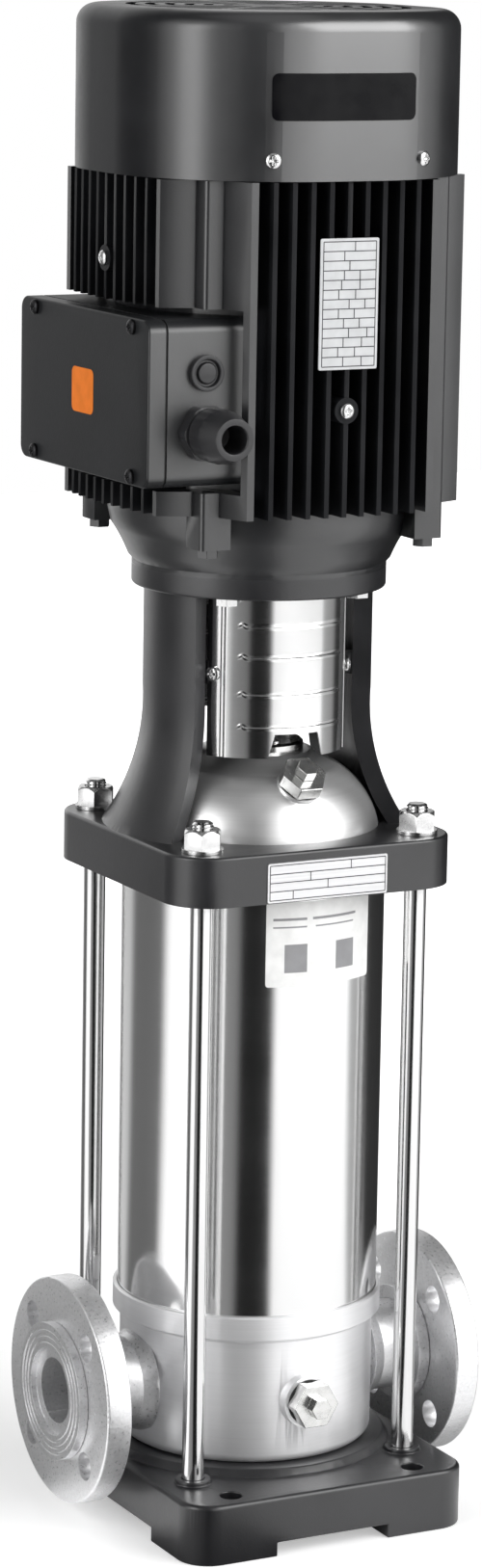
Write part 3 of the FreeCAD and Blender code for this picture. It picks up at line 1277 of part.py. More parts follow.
def motor_frame():
    """Finned motor frame with corner lobes and a flat for the terminal box."""
    z0 = SHIELD_TOP
    z1 = FRAME_TOP
    wall = corner_wall(z0, FIN_TOP)
    side = [wall, flipped_x(wall), corner_lobe(z0, FIN_TOP)]
    half_count = (FIN_COUNT - 1) // 2
    side += [fin(k * FIN_PITCH, z0, FIN_TOP) for k in range(-half_count, half_count + 1)]
    pieces = [post(FRAME_TUBE_R, z0, z1)]
    for piece in side:
        pieces += ring_of(piece, 4)
    for deep, seat, head in boss_screw_axes():
        foot = Vector(*seat) * ((FRAME_TUBE_R - 4) / (FIN_TIP + BOSS_PROUD))
        pieces.append(rod(BOSS_R, (foot.x, foot.y, seat[2]), seat))
    frame = joined(pieces)
    edge = BOX_HALF_WIDTH + FLAT_MARGIN
    low = BOX_BOTTOM - FLAT_MARGIN / 2
    high = BOX_TOP + FLAT_MARGIN / 2
    clear = block(-BOX_FACE_X - FLAT_MARGIN, -BOX_BACK_X + 2, -edge, edge, low, high)
    frame = frame.cut(clear.cut(post(FRAME_TUBE_R, low - PAST, high + PAST)))
    frame = frame.cut(post(FRAME_BORE_R + SEAT_GAP, z0 - PAST, z1 + PAST))
    for x, y in shield_screw_spots():
        frame = frame.cut(post(BOLT_R + SEAT_GAP, z0 - PAST, z0 + SHIELD_BOLT_REACH + 3, x, y))
    for deep, seat, head in boss_screw_axes():
        frame = frame.cut(rod(SCREW_R + SEAT_GAP, deep, head))
    return frame


def boss_screw_axes():
    """Deep end, seat and head end of the screws in the front and the left boss."""
    seat = FIN_TIP + BOSS_PROUD
    reach = [seat - SCREW_REACH, seat, seat + SCREW_HEAD_H]
    return [[(0, -r, FRONT_BOSS_Z) for r in reach], [(-r, 0, LEFT_BOSS_Z) for r in reach]]


def stator_core():
    """Laminated stator with slots for the windings."""
    core = pipe(FRAME_BORE_R, ROTOR_R + AIR_GAP, CORE_BOTTOM, CORE_TOP)
    half = STATOR_SLOT_WIDTH / 2
    slot = block(ROTOR_R + 2, FRAME_BORE_R - STATOR_YOKE, -half, half, CORE_BOTTOM - PAST, CORE_TOP + PAST)
    for cut in ring_of(slot, STATOR_SLOTS):
        core = core.cut(cut)
    return core


def stator_windings():
    """End turns of the windings above and below the core."""
    inner = ROTOR_R + 3
    outer = FRAME_BORE_R - WINDING_INSET
    turns = []
    for z, rise in ((CORE_BOTTOM, -WINDING_RISE), (CORE_TOP, WINDING_RISE)):
        turns.append(turned([(inner, z), (outer - 4, z), (outer, z + rise * 0.4), (outer - 6, z + rise),
                             (inner + 4, z + rise), (inner, z + rise * 0.6)]))
    return Part.makeCompound(turns)


def fan_end_shield():
    """Upper end shield with the bearing seat and the lugs for the fan cover."""
    bearing_top = UPPER_BEARING_Z + BEARING_WIDTH
    disc_top = FRAME_TOP + SHIELD_DISC
    lug_top = FRAME_TOP + COVER_LUG_HEIGHT
    slope_r = BEARING_SEAT_R * 2
    disc = turned([(0, FRAME_TOP), (FRAME_TUBE_R, FRAME_TOP), (FRAME_TUBE_R, disc_top - 3),
                   (slope_r, disc_top),
                   (0, disc_top)])
    spigot = pipe(FRAME_BORE_R, FRAME_BORE_R - 6, FRAME_TOP - 6, FRAME_TOP + PAST)
    boss = post(BEARING_SEAT_R + SHIELD_BOSS_WALL, UPPER_BEARING_Z - 1, bearing_top + 4)
    half = COVER_HALF - COVER_SHEET - SEAT_GAP
    fits = round_plate(half, half, half - COVER_FLAT, FRAME_TOP, lug_top)
    left = COVER_SCREW_X - COVER_LUG_WIDTH / 2
    lug = block(left, left + COVER_LUG_WIDTH, -COVER_HALF, -FRAME_TUBE_R * 0.7, FRAME_TOP,
                lug_top).common(fits)
    lugs = [lug, flipped_x(lug)]
    lugs += [spun(piece, 180) for piece in lugs]
    shield = joined([disc, spigot, boss] + lugs)
    shield = shield.cut(post(BEARING_SEAT_R, UPPER_BEARING_Z - 2, bearing_top))
    shield = shield.cut(post(BEARING_BORE_R + 1, UPPER_BEARING_Z, disc_top + PAST))
    for deep, seat, head in cover_screw_axes():
        shield = shield.cut(rod(SCREW_R + SEAT_GAP, deep, seat))
    return shield


def cover_screw_axes():
    """Deep end, seat and head end of the fan cover screws."""
    z = FRAME_TOP + COVER_LUG_HEIGHT / 2
    lean = math.asin((COVER_SCREW_X - COVER_FLAT) / COVER_CORNER_R)
    reach = [COVER_CORNER_R - SCREW_REACH - COVER_SHEET, COVER_CORNER_R, COVER_CORNER_R + SCREW_HEAD_H]
    axes = []
    for side_x, side_y in ((-1, -1), (-1, 1), (1, -1), (1, 1)):
        axes.append([(side_x * (COVER_FLAT + r * math.sin(lean)),
                      side_y * (COVER_FLAT + r * math.cos(lean)), z)
                     for r in reach])
    return axes


def fan_cover():
    """Pressed fan cover with a ring grille on top."""
    outer = round_plate(COVER_HALF, COVER_HALF, COVER_CORNER_R, COVER_BOTTOM, COVER_TOP)
    outer = soften(outer, COVER_EDGE_R, lambda e: e.BoundBox.ZMin > COVER_TOP - 0.1)
    half = COVER_HALF - COVER_SHEET
    ceiling = COVER_TOP - COVER_SHEET
    inner = round_plate(half, half, COVER_CORNER_R - COVER_SHEET, COVER_BOTTOM - COVER_LENGTH, ceiling)
    inner = soften(inner, COVER_EDGE_R - COVER_SHEET, lambda e: e.BoundBox.ZMin > ceiling - 0.1)
    cover = outer.cut(inner)
    z0 = ceiling - PAST
    half_spoke = GRILLE_SPOKE_WIDTH / 2
    spoke = block(-COVER_HALF, COVER_HALF, -half_spoke, half_spoke, z0 - PAST, COVER_TOP + 2 * PAST)
    web = joined([spun(spoke, 360.0 / GRILLE_SPOKES * k) for k in range(GRILLE_SPOKES // 2)])
    for k in range(GRILLE_RINGS):
        radius = GRILLE_HUB_R + k * GRILLE_PITCH
        cover = cover.cut(pipe(radius + GRILLE_SLOT, radius, z0, COVER_TOP + PAST).cut(web))
    for deep, seat, head in cover_screw_axes():
        cover = cover.cut(rod(SCREW_R + CLEAR_GAP, deep, head))
    return cover


def cooling_fan():
    """Radial fan on the motor shaft."""
    bore = FAN_SEAT_R + SEAT_GAP
    hub_r = bore + FAN_HUB_WALL
    half = FAN_BLADE_THICK / 2
    z0 = UPPER_BEARING_Z + BEARING_WIDTH + FAN_RISE
    hub = pipe(hub_r, bore, z0, z0 + FAN_HEIGHT)
    disc = pipe(FAN_R, hub_r - 4, z0 + 2, z0 + 5)
    blade = block(hub_r - 2, FAN_R - 2, -half, half, z0 + 4, z0 + FAN_HEIGHT)
    return joined([hub, disc] + ring_of(blade, FAN_BLADES))


def box_block(x_far, x_near, inset):
    """Rounded block on the terminal box's side, set in by a wall."""
    length = x_far - x_near
    half_y = BOX_HALF_WIDTH - inset
    half_z = BOX_HEIGHT / 2 - inset
    solid = round_plate(half_z, half_y, BOX_CORNER_R - inset, 0,
                        length).rotated(Vector(0, 0, 0), Y_AXIS, -90)
    return solid.translated(Vector(-x_near, 0, BOX_MIDDLE))


def lid_screw_spots():
    """Centres of the lid screws in Y and Z."""
    reach_y = BOX_HALF_WIDTH - LID_SCREW_INSET_Y
    reach_z = BOX_HEIGHT / 2 - LID_SCREW_INSET_Z
    return [(sy * reach_y, BOX_MIDDLE + sz * reach_z) for sy in (-1, 1) for sz in (-1, 1)]


def lid_screw_axes():
    """Deep end, seat and head end of the captive lid screws."""
    reach = [BOX_OPEN_X - SCREW_REACH, BOX_FACE_X, BOX_FACE_X + SCREW_HEAD_H]
    return [[(-r, y, z) for r in reach] for y, z in lid_screw_spots()]


def terminal_box():
    """Base of the terminal box, saddled on the motor frame."""
    face = BOX_OPEN_X
    base = box_block(face, BOX_BACK_X, 0.0).cut(box_block(face + PAST, BOX_BACK_X + BOX_WALL, BOX_WALL))
    inside = box_block(face, BOX_BACK_X + PAST, BOX_WALL / 4)
    ears = []
    for y, z in lid_screw_spots():
        ears.append(rod(LID_EAR_R - 0.5, (-face, y, z),
                        (-face + SCREW_REACH + BOX_WALL, y, z)).common(inside))
    base = joined([base] + ears)
    base = base.cut(post(FRAME_TUBE_R + LOOSE_GAP, BOX_BOTTOM - PAST, BOX_TOP + PAST))
    for y, z in lid_screw_spots():
        base = base.cut(rod(SCREW_R + SEAT_GAP, (-face - PAST, y, z), (-face + SCREW_REACH + 2, y, z)))
    for rise, radius in ((GLAND_RISE, GLAND_THREAD_R), (PLUG_RISE, BLANK_R - BLANK_SHOULDER)):
        z = BOX_BOTTOM + rise
        wall_y = -BOX_HALF_WIDTH
        base = base.cut(rod(radius, (-ENTRY_X, wall_y - PAST, z), (-ENTRY_X, wall_y + BOX_WALL + PAST, z)))
    return base


def terminal_gasket():
    """Flat seal between the box and its lid."""
    face = BOX_OPEN_X
    inset = BOX_WALL / 4
    ring = box_block(face + GASKET_THICK, face, inset).cut(box_block(face + 5, face - 5, BOX_WALL))
    for y, z in lid_screw_spots():
        ring = ring.cut(rod(SCREW_R + LOOSE_GAP, (-face - 5, y, z), (-face + 5, y, z)))
    return ring


def terminal_lid():
    """Lid of the terminal box."""
    back = BOX_FACE_X - LID_DEPTH
    lid = box_block(BOX_FACE_X, back, 0.0)
    lid = soften(lid, 1.5, lambda e: e.BoundBox.XMax < -BOX_FACE_X + 0.1)
    lid = lid.cut(box_block(BOX_FACE_X - LID_WALL, back - PAST, BOX_WALL))
    inside = box_block(BOX_FACE_X - PAST, back, BOX_WALL / 4)
    ears = [rod(LID_EAR_R, (-BOX_FACE_X + 1, y, z), (-back, y, z)).common(inside)
            for y, z in lid_screw_spots()]
    lid = joined([lid] + ears)
    for y, z in lid_screw_spots():
        lid = lid.cut(rod(SCREW_R + CLEAR_GAP, (-BOX_FACE_X - PAST, y, z), (-back + PAST, y, z)))
    return lid


def terminal_block():
    """Moulded block that carries the studs."""
    back = -FRAME_TUBE_R - CLEAR_GAP
    half_y = BLOCK_HALF_WIDTH
    half_z = BLOCK_HALF_HEIGHT
    body = block(-FRAME_TUBE_R - BLOCK_THICK, back, -half_y, half_y, BOX_MIDDLE - half_z,
                 BOX_MIDDLE + half_z)
    for y, z in stud_spots():
        body = body.cut(rod(STUD_R + SEAT_GAP, (back - BLOCK_THICK, y, z), (back - 3, y, z)))
    return body


def stud_spots():
    """Six stud places on the terminal block."""
    half = STUD_PITCH_Z / 2
    return [(y, BOX_MIDDLE + dz) for y in (-STUD_PITCH_Y, 0.0, STUD_PITCH_Y) for dz in (-half, half)]


def terminal_studs():
    """Brass studs with their nuts."""
    face = -FRAME_TUBE_R - BLOCK_THICK
    deep = -FRAME_TUBE_R - CLEAR_GAP - 3.3
    studs = []
    for y, z in stud_spots():
        studs.append(joined([rod(STUD_R, (face - STUD_LENGTH, y, z), (deep, y, z)),
                             hex_bar(STUD_NUT_HEX, (face - STUD_NUT_HEIGHT, y, z), (face, y, z))]))
    return Part.makeCompound(studs)


def gland_point(along):
    """Point on the cable gland's axis, out from the box wall."""
    return (-ENTRY_X, -BOX_HALF_WIDTH - along, BOX_BOTTOM + GLAND_RISE)


def cable_gland_body():
    """Gland body screwed into the box wall."""
    deep = -BOX_WALL - 3
    body = joined([rod(GLAND_THREAD_R - SEAT_GAP, gland_point(deep), gland_point(PAST)),
                   hex_bar(GLAND_BODY_R * 2 + 1, gland_point(0), gland_point(GLAND_HEX_LENGTH)),
                   rod(GLAND_BODY_R - 1, gland_point(GLAND_HEX_LENGTH - PAST),
                       gland_point(GLAND_THREAD_LENGTH))])
    return body.cut(rod(GLAND_HOLE_R, gland_point(deep - PAST), gland_point(GLAND_THREAD_LENGTH + PAST)))


def gland_nut():
    """Domed cap nut of the gland."""
    start = GLAND_NUT_START
    dome = start + GLAND_NUT_HEX_LENGTH
    inner = GLAND_BODY_R - 1 + SEAT_GAP
    cone = Part.makeCone(GLAND_BODY_R + 0.8, GLAND_HOLE_R + 2, GLAND_LENGTH - dome,
                         Vector(*gland_point(dome)), -Y_AXIS)
    outer = joined([hex_bar(GLAND_BODY_R * 2 + 2, gland_point(start), gland_point(dome)), cone])
    outer = outer.cut(rod(inner, gland_point(start - PAST), gland_point(GLAND_THREAD_LENGTH + PAST)))
    return outer.cut(rod(GLAND_HOLE_R, gland_point(GLAND_THREAD_LENGTH), gland_point(GLAND_LENGTH + PAST)))


def blanking_plug():
    """Plug in the unused cable entry."""
    z = BOX_BOTTOM + PLUG_RISE
    wall = -BOX_HALF_WIDTH
    front = wall - BLANK_HEIGHT
    head = rod(BLANK_R, (-ENTRY_X, wall, z), (-ENTRY_X, front, z))
    head = head.makeChamfer(1.0, [e for e in head.Edges if e.Closed and e.BoundBox.YMax < front + 0.1])
    shank = rod(BLANK_R - BLANK_SHOULDER - SEAT_GAP, (-ENTRY_X, wall - PAST, z),
                (-ENTRY_X, wall + BOX_WALL + 3, z))
    slot = block(-ENTRY_X - BLANK_R / 2, -ENTRY_X + BLANK_R / 2, front - PAST, front + 1.5, z - 1, z + 1)
    return joined([head, shank]).cut(slot)


def front_plate(width, z0, z1, seat, shift=0.0):
    """Bare plate that faces the front, on a seat at a distance from the axis."""
    return block(shift - width / 2, shift + width / 2, -seat - PLATE_THICK, -seat, z0, z1)


def plates():
    """Bare plates of the pump and the motor, and the bare badge of the fan cover."""
    pump_top = PLATE_TOP - PUMP_PLATE_DROP
    motor_low = STOOL_TOP + MOTOR_PLATE_RISE
    badge_low = COVER_BOTTOM + BADGE_RISE
    return Part.makeCompound([
        front_plate(PUMP_PLATE_WIDTH, pump_top - PUMP_PLATE_HEIGHT, pump_top, HEAD_PLATE_SIZE / 2),
        front_plate(MOTOR_PLATE_WIDTH, motor_low, motor_low + MOTOR_PLATE_HEIGHT, FIN_TIP),
        front_plate(BADGE_WIDTH, badge_low, badge_low + BADGE_HEIGHT, COVER_HALF, BADGE_SHIFT),
    ])


def nodes():
    """Every named piece of the pump."""
    wheels, spacers = impellers_and_spacers()
    return {
        "base_plate": base_plate(),
        "bottom_housing": bottom_housing(),
        "port_stubs": port_stubs(),
        "inlet_flange": port_flange(-1),
        "outlet_flange": port_flange(1),
        "flange_retainers": flange_retainers(),
        "drain_plug": drain_plug(),
        "drain_spindle": drain_spindle(),
        "flat_gaskets": Part.makeCompound([drain_gasket(), vent_gasket(), terminal_gasket()]),
        "sleeve_seat_ring": sleeve_seat_ring(),
        "outer_sleeve": outer_sleeve(),
        "sleeve_seals": sleeve_seals(),
        "inlet_guide": inlet_guide(),
        "stage_chambers": stage_chambers(),
        "neck_rings": neck_rings(),
        "top_chamber": top_chamber(),
        "stack_straps": stack_straps(),
        "guide_bushes": guide_bushes(),
        "bush_sleeves": bush_sleeves(),
        "impellers": wheels,
        "impeller_spacers": spacers,
        "shaft_nut": shaft_nut(),
        "pump_shaft": pump_shaft(),
        "head_cover": head_cover(),
        "vent_plug": vent_plug(),
        "vent_spindle": vent_spindle(),
        "seal_gland": seal_gland(),
        "seal_stationary_ring": seal_stationary_ring(),
        "seal_rotating_ring": seal_rotating_ring(),
        "seal_spring": seal_spring(),
        "motor_stool": motor_stool(),
        "staybolts": staybolts(),
        "staybolt_washers": staybolt_washers(),
        "staybolt_nuts": staybolt_nuts(),
        "coupling_guard_front": coupling_guard(270),
        "coupling_guard_rear": coupling_guard(90),
        "pan_head_screws": pan_head_screws(),
        "coupling_half_front": coupling_half(-1),
        "coupling_half_rear": coupling_half(1),
        "coupling_screws": coupling_screws(),
        "coupling_pin": coupling_pin(),
        "motor_shaft": motor_shaft(),
        "rotor_core": rotor_core(),
        "bearing_inner_rings": bearing_inner_rings(),
        "bearing_outer_rings": bearing_outer_rings(),
        "bearing_balls": bearing_balls(),
        "cooling_fan": cooling_fan(),
        "drive_end_shield": drive_end_shield(),
        "hexagon_bolts": hexagon_bolts(),
        "motor_frame": motor_frame(),
        "stator": Part.makeCompound([stator_core(), stator_windings()]),
        "fan_end_shield": fan_end_shield(),
        "fan_cover": fan_cover(),
        "terminal_box": terminal_box(),
        "terminal_lid": terminal_lid(),
        "cable_gland": Part.makeCompound([cable_gland_body(), gland_nut()]),
        "blanking_plug": blanking_plug(),
        "terminal_block": terminal_block(),
        "terminal_studs": terminal_studs(),
        "plates": plates(),
    }


os.makedirs("parts", exist_ok=True)
for name, shape in nodes().items():
    shape.exportStep("parts/" + name + ".step")
    print(name, len(shape.Solids), "solids, valid", shape.isValid(), "volume", round(shape.Volume))
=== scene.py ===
"""Looks of the vertical multistage pump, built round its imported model."""

import logging
import math
from collections.abc import Callable
from dataclasses import dataclass, field
from enum import Enum

import bmesh
import bpy
import numpy as np
from mathutils import Matrix, Vector


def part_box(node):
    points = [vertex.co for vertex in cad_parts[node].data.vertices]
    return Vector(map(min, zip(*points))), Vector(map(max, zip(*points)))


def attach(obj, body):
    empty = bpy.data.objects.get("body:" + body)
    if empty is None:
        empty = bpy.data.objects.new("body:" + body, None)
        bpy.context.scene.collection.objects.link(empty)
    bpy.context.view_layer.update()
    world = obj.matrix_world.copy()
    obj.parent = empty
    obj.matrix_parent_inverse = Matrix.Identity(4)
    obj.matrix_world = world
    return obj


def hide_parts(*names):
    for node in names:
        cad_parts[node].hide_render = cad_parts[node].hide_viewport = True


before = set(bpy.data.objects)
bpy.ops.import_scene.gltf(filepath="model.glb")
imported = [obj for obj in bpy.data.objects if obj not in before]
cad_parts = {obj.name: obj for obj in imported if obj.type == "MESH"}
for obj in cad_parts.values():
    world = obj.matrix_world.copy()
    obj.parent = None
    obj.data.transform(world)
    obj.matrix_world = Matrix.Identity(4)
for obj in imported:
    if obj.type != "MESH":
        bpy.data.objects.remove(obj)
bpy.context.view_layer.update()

LOG = logging.getLogger("pump")
MM = 0.001

# Part of a noise's range that holds nearly all of its values
MIDDLE = (0.3, 0.7)

Point = tuple[float, float, float]
Colour = tuple[float, float, float]
Socket = bpy.types.NodeSocket


class Axis(Enum):
    """Directions that a brushing follows."""

    X = 0
    Y = 1
    Z = 2


# Node tools for the finishes


class Graph:
    """Short spellings for the nodes of one material or world."""

    def __init__(self, tree: bpy.types.NodeTree) -> None:
        """Starts from an empty tree."""
        self.tree = tree
        tree.nodes.clear()

    def put(self, node: bpy.types.Node, values: dict[str | int, object]) -> None:
        """Fills inputs of a node: a socket is linked, a number or a colour is set.

        Args:
            node: The node.
            values: What goes into its inputs, by name or number.
        """
        for name, value in values.items():
            if isinstance(value, Socket):
                self.tree.links.new(value, node.inputs[name])
            else:
                node.inputs[name].default_value = value

    def add(self, kind: str, values: dict[str | int, object] | None = None) -> bpy.types.Node:
        """Makes a node.

        Args:
            kind: Blender's node type.
            values: What goes into its inputs, by name or number.

        Returns:
            The new node.
        """
        node = self.tree.nodes.new(kind)
        self.put(node, values or {})
        return node

    def math(self, operation: str, first: Socket | float, second: Socket | float = 0.0) -> Socket:
        """One of Blender's operations on two values.

        Args:
            operation: Its name.
            first: Socket or number.
            second: Socket or number, for operations that take two.

        Returns:
            The result.
        """
        node = self.add("ShaderNodeMath", {0: first, 1: second})
        node.operation = operation
        return node.outputs[0]

    def plus(self, first: Socket | float, second: Socket | float) -> Socket:
        """Sum of two sockets or numbers."""
        return self.math("ADD", first, second)

    def times(self, first: Socket | float, second: Socket | float) -> Socket:
        """Product of two sockets or numbers."""
        return self.math("MULTIPLY", first, second)

    def length(self, first: Socket, second: Socket) -> Socket:
        """Root of the sum of two squares."""
        return self.math("SQRT", self.plus(self.times(first, first), self.times(second, second)))

    def place(self) -> Socket:
        """Object coordinates, in metres in the pump's frame."""
        return self.add("ShaderNodeTexCoord").outputs["Object"]

    def axes(self, vector: Socket) -> tuple[Socket, Socket, Socket]:
        """X, Y and Z of a vector."""
        return tuple(self.add("ShaderNodeSeparateXYZ", {0: vector}).outputs)

    def scaled(self, scale: Point) -> Socket:
        """Object coordinates stretched along each axis."""
        return self.add("ShaderNodeMapping", {"Scale": scale, "Vector": self.place()}).outputs[0]

    def noise(self, vector: Socket, scale: float, detail: float = 3.0, roughness: float = 0.5) -> Socket:
        """Cloudy pattern from 0 to 1."""
        return self.add("ShaderNodeTexNoise", {"Scale": scale, "Detail": detail, "Roughness": roughness,
                                               "Vector": vector}).outputs[0]

    def spread(self, value: Socket, low: float, high: float, start: float = 0.0, end: float = 1.0) -> Socket:
        """Moves a value from one range to another.

        Args:
            value: The value.
            low: Result at and below the start.
            high: Result at and above the end.
            start: Where the first range starts.
            end: Where it ends.

        Returns:
            The moved value.
        """
        node = self.add("ShaderNodeMapRange", {"From Min": start, "From Max": end, "To Min": low,
                                               "To Max": high, "Value": value})
        node.clamp = True
        return node.outputs[0]

    def gloss(self, pattern: Socket, roughness: float, less: float, more: float) -> Socket:
        """Roughness that follows a pattern.

        Args:
            pattern: The pattern.
            roughness: Its usual value.
            less: How far it drops below that.
            more: How far it rises above it.

        Returns:
            The roughness.
        """
        return self.spread(pattern, roughness - less, roughness + more, *MIDDLE)

    def blend(self, pattern: Socket, first: Colour, second: Colour, start: float, end: float) -> Socket:
        """Mix of two colours by a pattern.

        Args:
            pattern: The pattern.
            first: Colour where the pattern is at or below the start.
            second: Colour where it is at or above the end.
            start: Where the mix starts.
            end: Where it ends.

        Returns:
            The mixed colour.
        """
        node = self.add("ShaderNodeMix")
        node.data_type = "RGBA"
        self.put(node, {"Factor": self.spread(pattern, 0.0, 1.0, start, end)})
        colours = [s for s in node.inputs if s.type == "RGBA"]
        colours[0].default_value = (*first, 1.0)
        colours[1].default_value = (*second, 1.0)
        return next(s for s in node.outputs if s.type == "RGBA")

    def bump(self, height: Socket, depth: float, below: Socket | None = None) -> Socket:
        """Small relief.

        Args:
            height: Pattern of the relief.
            depth: Its depth in metres.
            below: Normal of another relief that it lies on.

        Returns:
            The normal.
        """
        node = self.add("ShaderNodeBump", {"Strength": 1.0, "Distance": depth, "Height": height})
        if below is not None:
            self.put(node, {"Normal": below})
        return node.outputs[0]


def shader(name: str) -> tuple[bpy.types.Material, Graph, bpy.types.Node]:
    """Makes a material.

    Args:
        name: Its name.

    Returns:
        The material, its tree and the shader that is joined to its output.
    """
    material = bpy.data.materials.new(name)
    material.use_nodes = True
    graph = Graph(material.node_tree)
    principled = graph.add("ShaderNodeBsdfPrincipled")
    graph.add("ShaderNodeOutputMaterial", {"Surface": principled.outputs[0]})
    return material, graph, principled


def toned(colour: Colour, share: float, lift: float = 0.0) -> Colour:
    """Colour at a share of its brightness, lifted a little and held at white."""
    return tuple(min(1.0, c * share + lift) for c in colour)


# Finishes. Patterns are in metres, so a scale of 100 has clouds of about 10 mm


@dataclass(frozen=True)
class Enamel:
    """Satin enamel over metal: faint orange peel, thin dust and a slow change of gloss.

    Where `front` is set, the shine fades in from that distance ahead of the pump's axis, a painted sheen on
    the front. Where `fins` is set, it holds only where both X and Y are further than that from the axis,
    which keeps the fins dull as painted shade.
    """

    name: str
    colour: Colour
    roughness: float = 0.36
    coat: float = 0.25
    peel: float = 0.00006
    cast: float = 0.0
    coat_ior: float = 1.5
    fins: float = 0.0
    front: float = 0.0
    front_blend: float = 0.05
    cloud_scale: float = 22.0
    dust_scale: float = 260.0
    peel_scale: float = 900.0
    grit_scale: float = 420.0
    lump_scale: float = 60.0

    def relief(self, graph: Graph, place: Socket) -> Socket:
        """Orange peel, and on castings the sand's grit and lumps over it.

        Args:
            graph: Tree of the material.
            place: Object coordinates.

        Returns:
            The normal.
        """
        normal = graph.bump(graph.noise(place, self.peel_scale, 1.0), self.peel)
        if self.cast:
            normal = graph.bump(graph.noise(place, self.grit_scale, 6.0, 0.62), self.cast, normal)
            normal = graph.bump(graph.noise(place, self.lump_scale, 3.0), self.cast * 1.6, normal)
        return normal

    def painted_sheen_mask(self, graph: Graph, base: bpy.types.Node, place: Socket) -> None:
        """Keeps the shine to a part of the piece: painted sheen where it holds, painted shade where it drops.

        Args:
            graph: Tree of the material.
            base: Its shader.
            place: Object coordinates.
        """
        x, y, _ = graph.axes(place)
        # Painted sheen and shade: coat and specular level change with place, brightening the front and
        # dulling the fins
        if self.front:
            share = graph.spread(graph.times(y, -1.0), 0.15, 1.0, self.front, self.front + self.front_blend)
            graph.put(base, {"Coat Weight": graph.times(share, self.coat),
                             "Specular IOR Level": graph.times(share, 0.5)})
        if self.fins:
            inner = graph.math("MINIMUM", graph.math("ABSOLUTE", x), graph.math("ABSOLUTE", y))
            share = graph.spread(inner, 0.0, 1.0, self.fins, self.fins + 0.002)
            graph.put(base, {"Coat Weight": graph.times(share, self.coat),
                             "Specular IOR Level": graph.times(graph.plus(share, 0.25), 0.4)})

    def build(self) -> bpy.types.Material:
        """Makes the material."""
        material, graph, base = shader(self.name)
        place = graph.place()
        cloud = graph.noise(place, self.cloud_scale, 4.0)
        dust = graph.spread(graph.noise(place, self.dust_scale, 2.0), -0.03, 0.05)
        graph.put(base, {
            "Base Color": graph.blend(cloud, self.colour, toned(self.colour, 1.45, 0.004), 0.35, 0.7),
            "Roughness": graph.plus(graph.gloss(cloud, self.roughness, 0.05, 0.06), dust),
            "Coat Weight": self.coat,
            "Coat Roughness": self.roughness * 0.8,
            "Coat IOR": self.coat_ior,
            "Normal": self.relief(graph, place)})
        self.painted_sheen_mask(graph, base, place)
        return material


@dataclass(frozen=True)
class BrushedMetal:
    """Bare metal with fine brushing along one axis, or round it."""

    name: str
    colour: Colour = (0.74, 0.74, 0.73)
    roughness: float = 0.2
    along: Axis = Axis.Z
    around: bool = True
    depth: float = 0.000012
    streak: float = 0.06
    contrast: float = 0.18
    metallic: float = 1.0

    def stretched(self, across: float, along: float) -> Point:
        """Scale of a pattern on each axis: one value along the brushing and another across it."""
        return tuple(along if (k != self.along.value) == self.around else across for k in range(3))

    def build(self) -> bpy.types.Material:
        """Makes the material."""
        material, graph, base = shader(self.name)
        lines = graph.noise(graph.scaled(self.stretched(900.0, 9.0)), 1.0, 3.0, 0.7)
        cloud = graph.gloss(graph.noise(graph.scaled(self.stretched(14.0, 3.0)), 1.0, 3.0), 0.0, 0.02, 0.03)
        half = self.streak / 2
        graph.put(base, {
            "Base Color": graph.blend(lines, toned(self.colour, 1.0 - self.contrast), self.colour, *MIDDLE),
            "Metallic": self.metallic,
            "Roughness": graph.plus(graph.gloss(lines, self.roughness, half, half), cloud),
            "Normal": graph.bump(lines, self.depth)})
        return material


@dataclass(frozen=True)
class TurnedMetal:
    """Steel turned on a lathe about the ports' axis: rings of fine tool marks and a sand-cast grain."""

    name: str
    colour: Colour = (0.66, 0.66, 0.66)
    roughness: float = 0.3
    grain: float = 0.00008
    height: float = 0.085
    metallic: float = 0.76
    marks: float = 0.00002
    marks_scale: float = 1600.0
    grit_scale: float = 500.0

    def build(self) -> bpy.types.Material:
        """Makes the material: the marks follow the distance from the ports' axis and the place along it."""
        material, graph, base = shader(self.name)
        place = graph.place()
        x, y, z = graph.axes(place)
        radius = graph.length(y, graph.math("SUBTRACT", z, self.height))
        rings = graph.add("ShaderNodeCombineXYZ", {0: graph.times(radius, self.marks_scale),
                                                   1: graph.times(x, self.marks_scale)})
        marks = graph.noise(rings.outputs[0], 1.0, 2.0, 0.6)
        grit = graph.noise(place, self.grit_scale, 5.0, 0.65)
        graph.put(base, {
            "Base Color": graph.blend(grit, toned(self.colour, 0.86), self.colour, 0.35, 0.65),
            "Metallic": self.metallic,
            "Roughness": graph.gloss(grit, self.roughness, 0.06, 0.14),
            "Normal": graph.bump(grit, self.grain, graph.bump(marks, self.marks))})
        return material


@dataclass(frozen=True)
class PlainMetal:
    """Plated or machined metal with light handling marks."""

    name: str
    colour: Colour = (0.66, 0.66, 0.66)
    roughness: float = 0.24

    def build(self) -> bpy.types.Material:
        """Makes the material."""
        material, graph, base = shader(self.name)
        place = graph.place()
        marks = graph.noise(place, 160.0, 4.0, 0.6)
        graph.put(base, {
            "Base Color": graph.blend(marks, self.colour, toned(self.colour, 0.8), 0.35, 0.7),
            "Metallic": 1.0,
            "Roughness": graph.gloss(marks, self.roughness, 0.06, 0.1),
            "Normal": graph.bump(graph.noise(place, 1200.0, 2.0), 0.00001)})
        return material


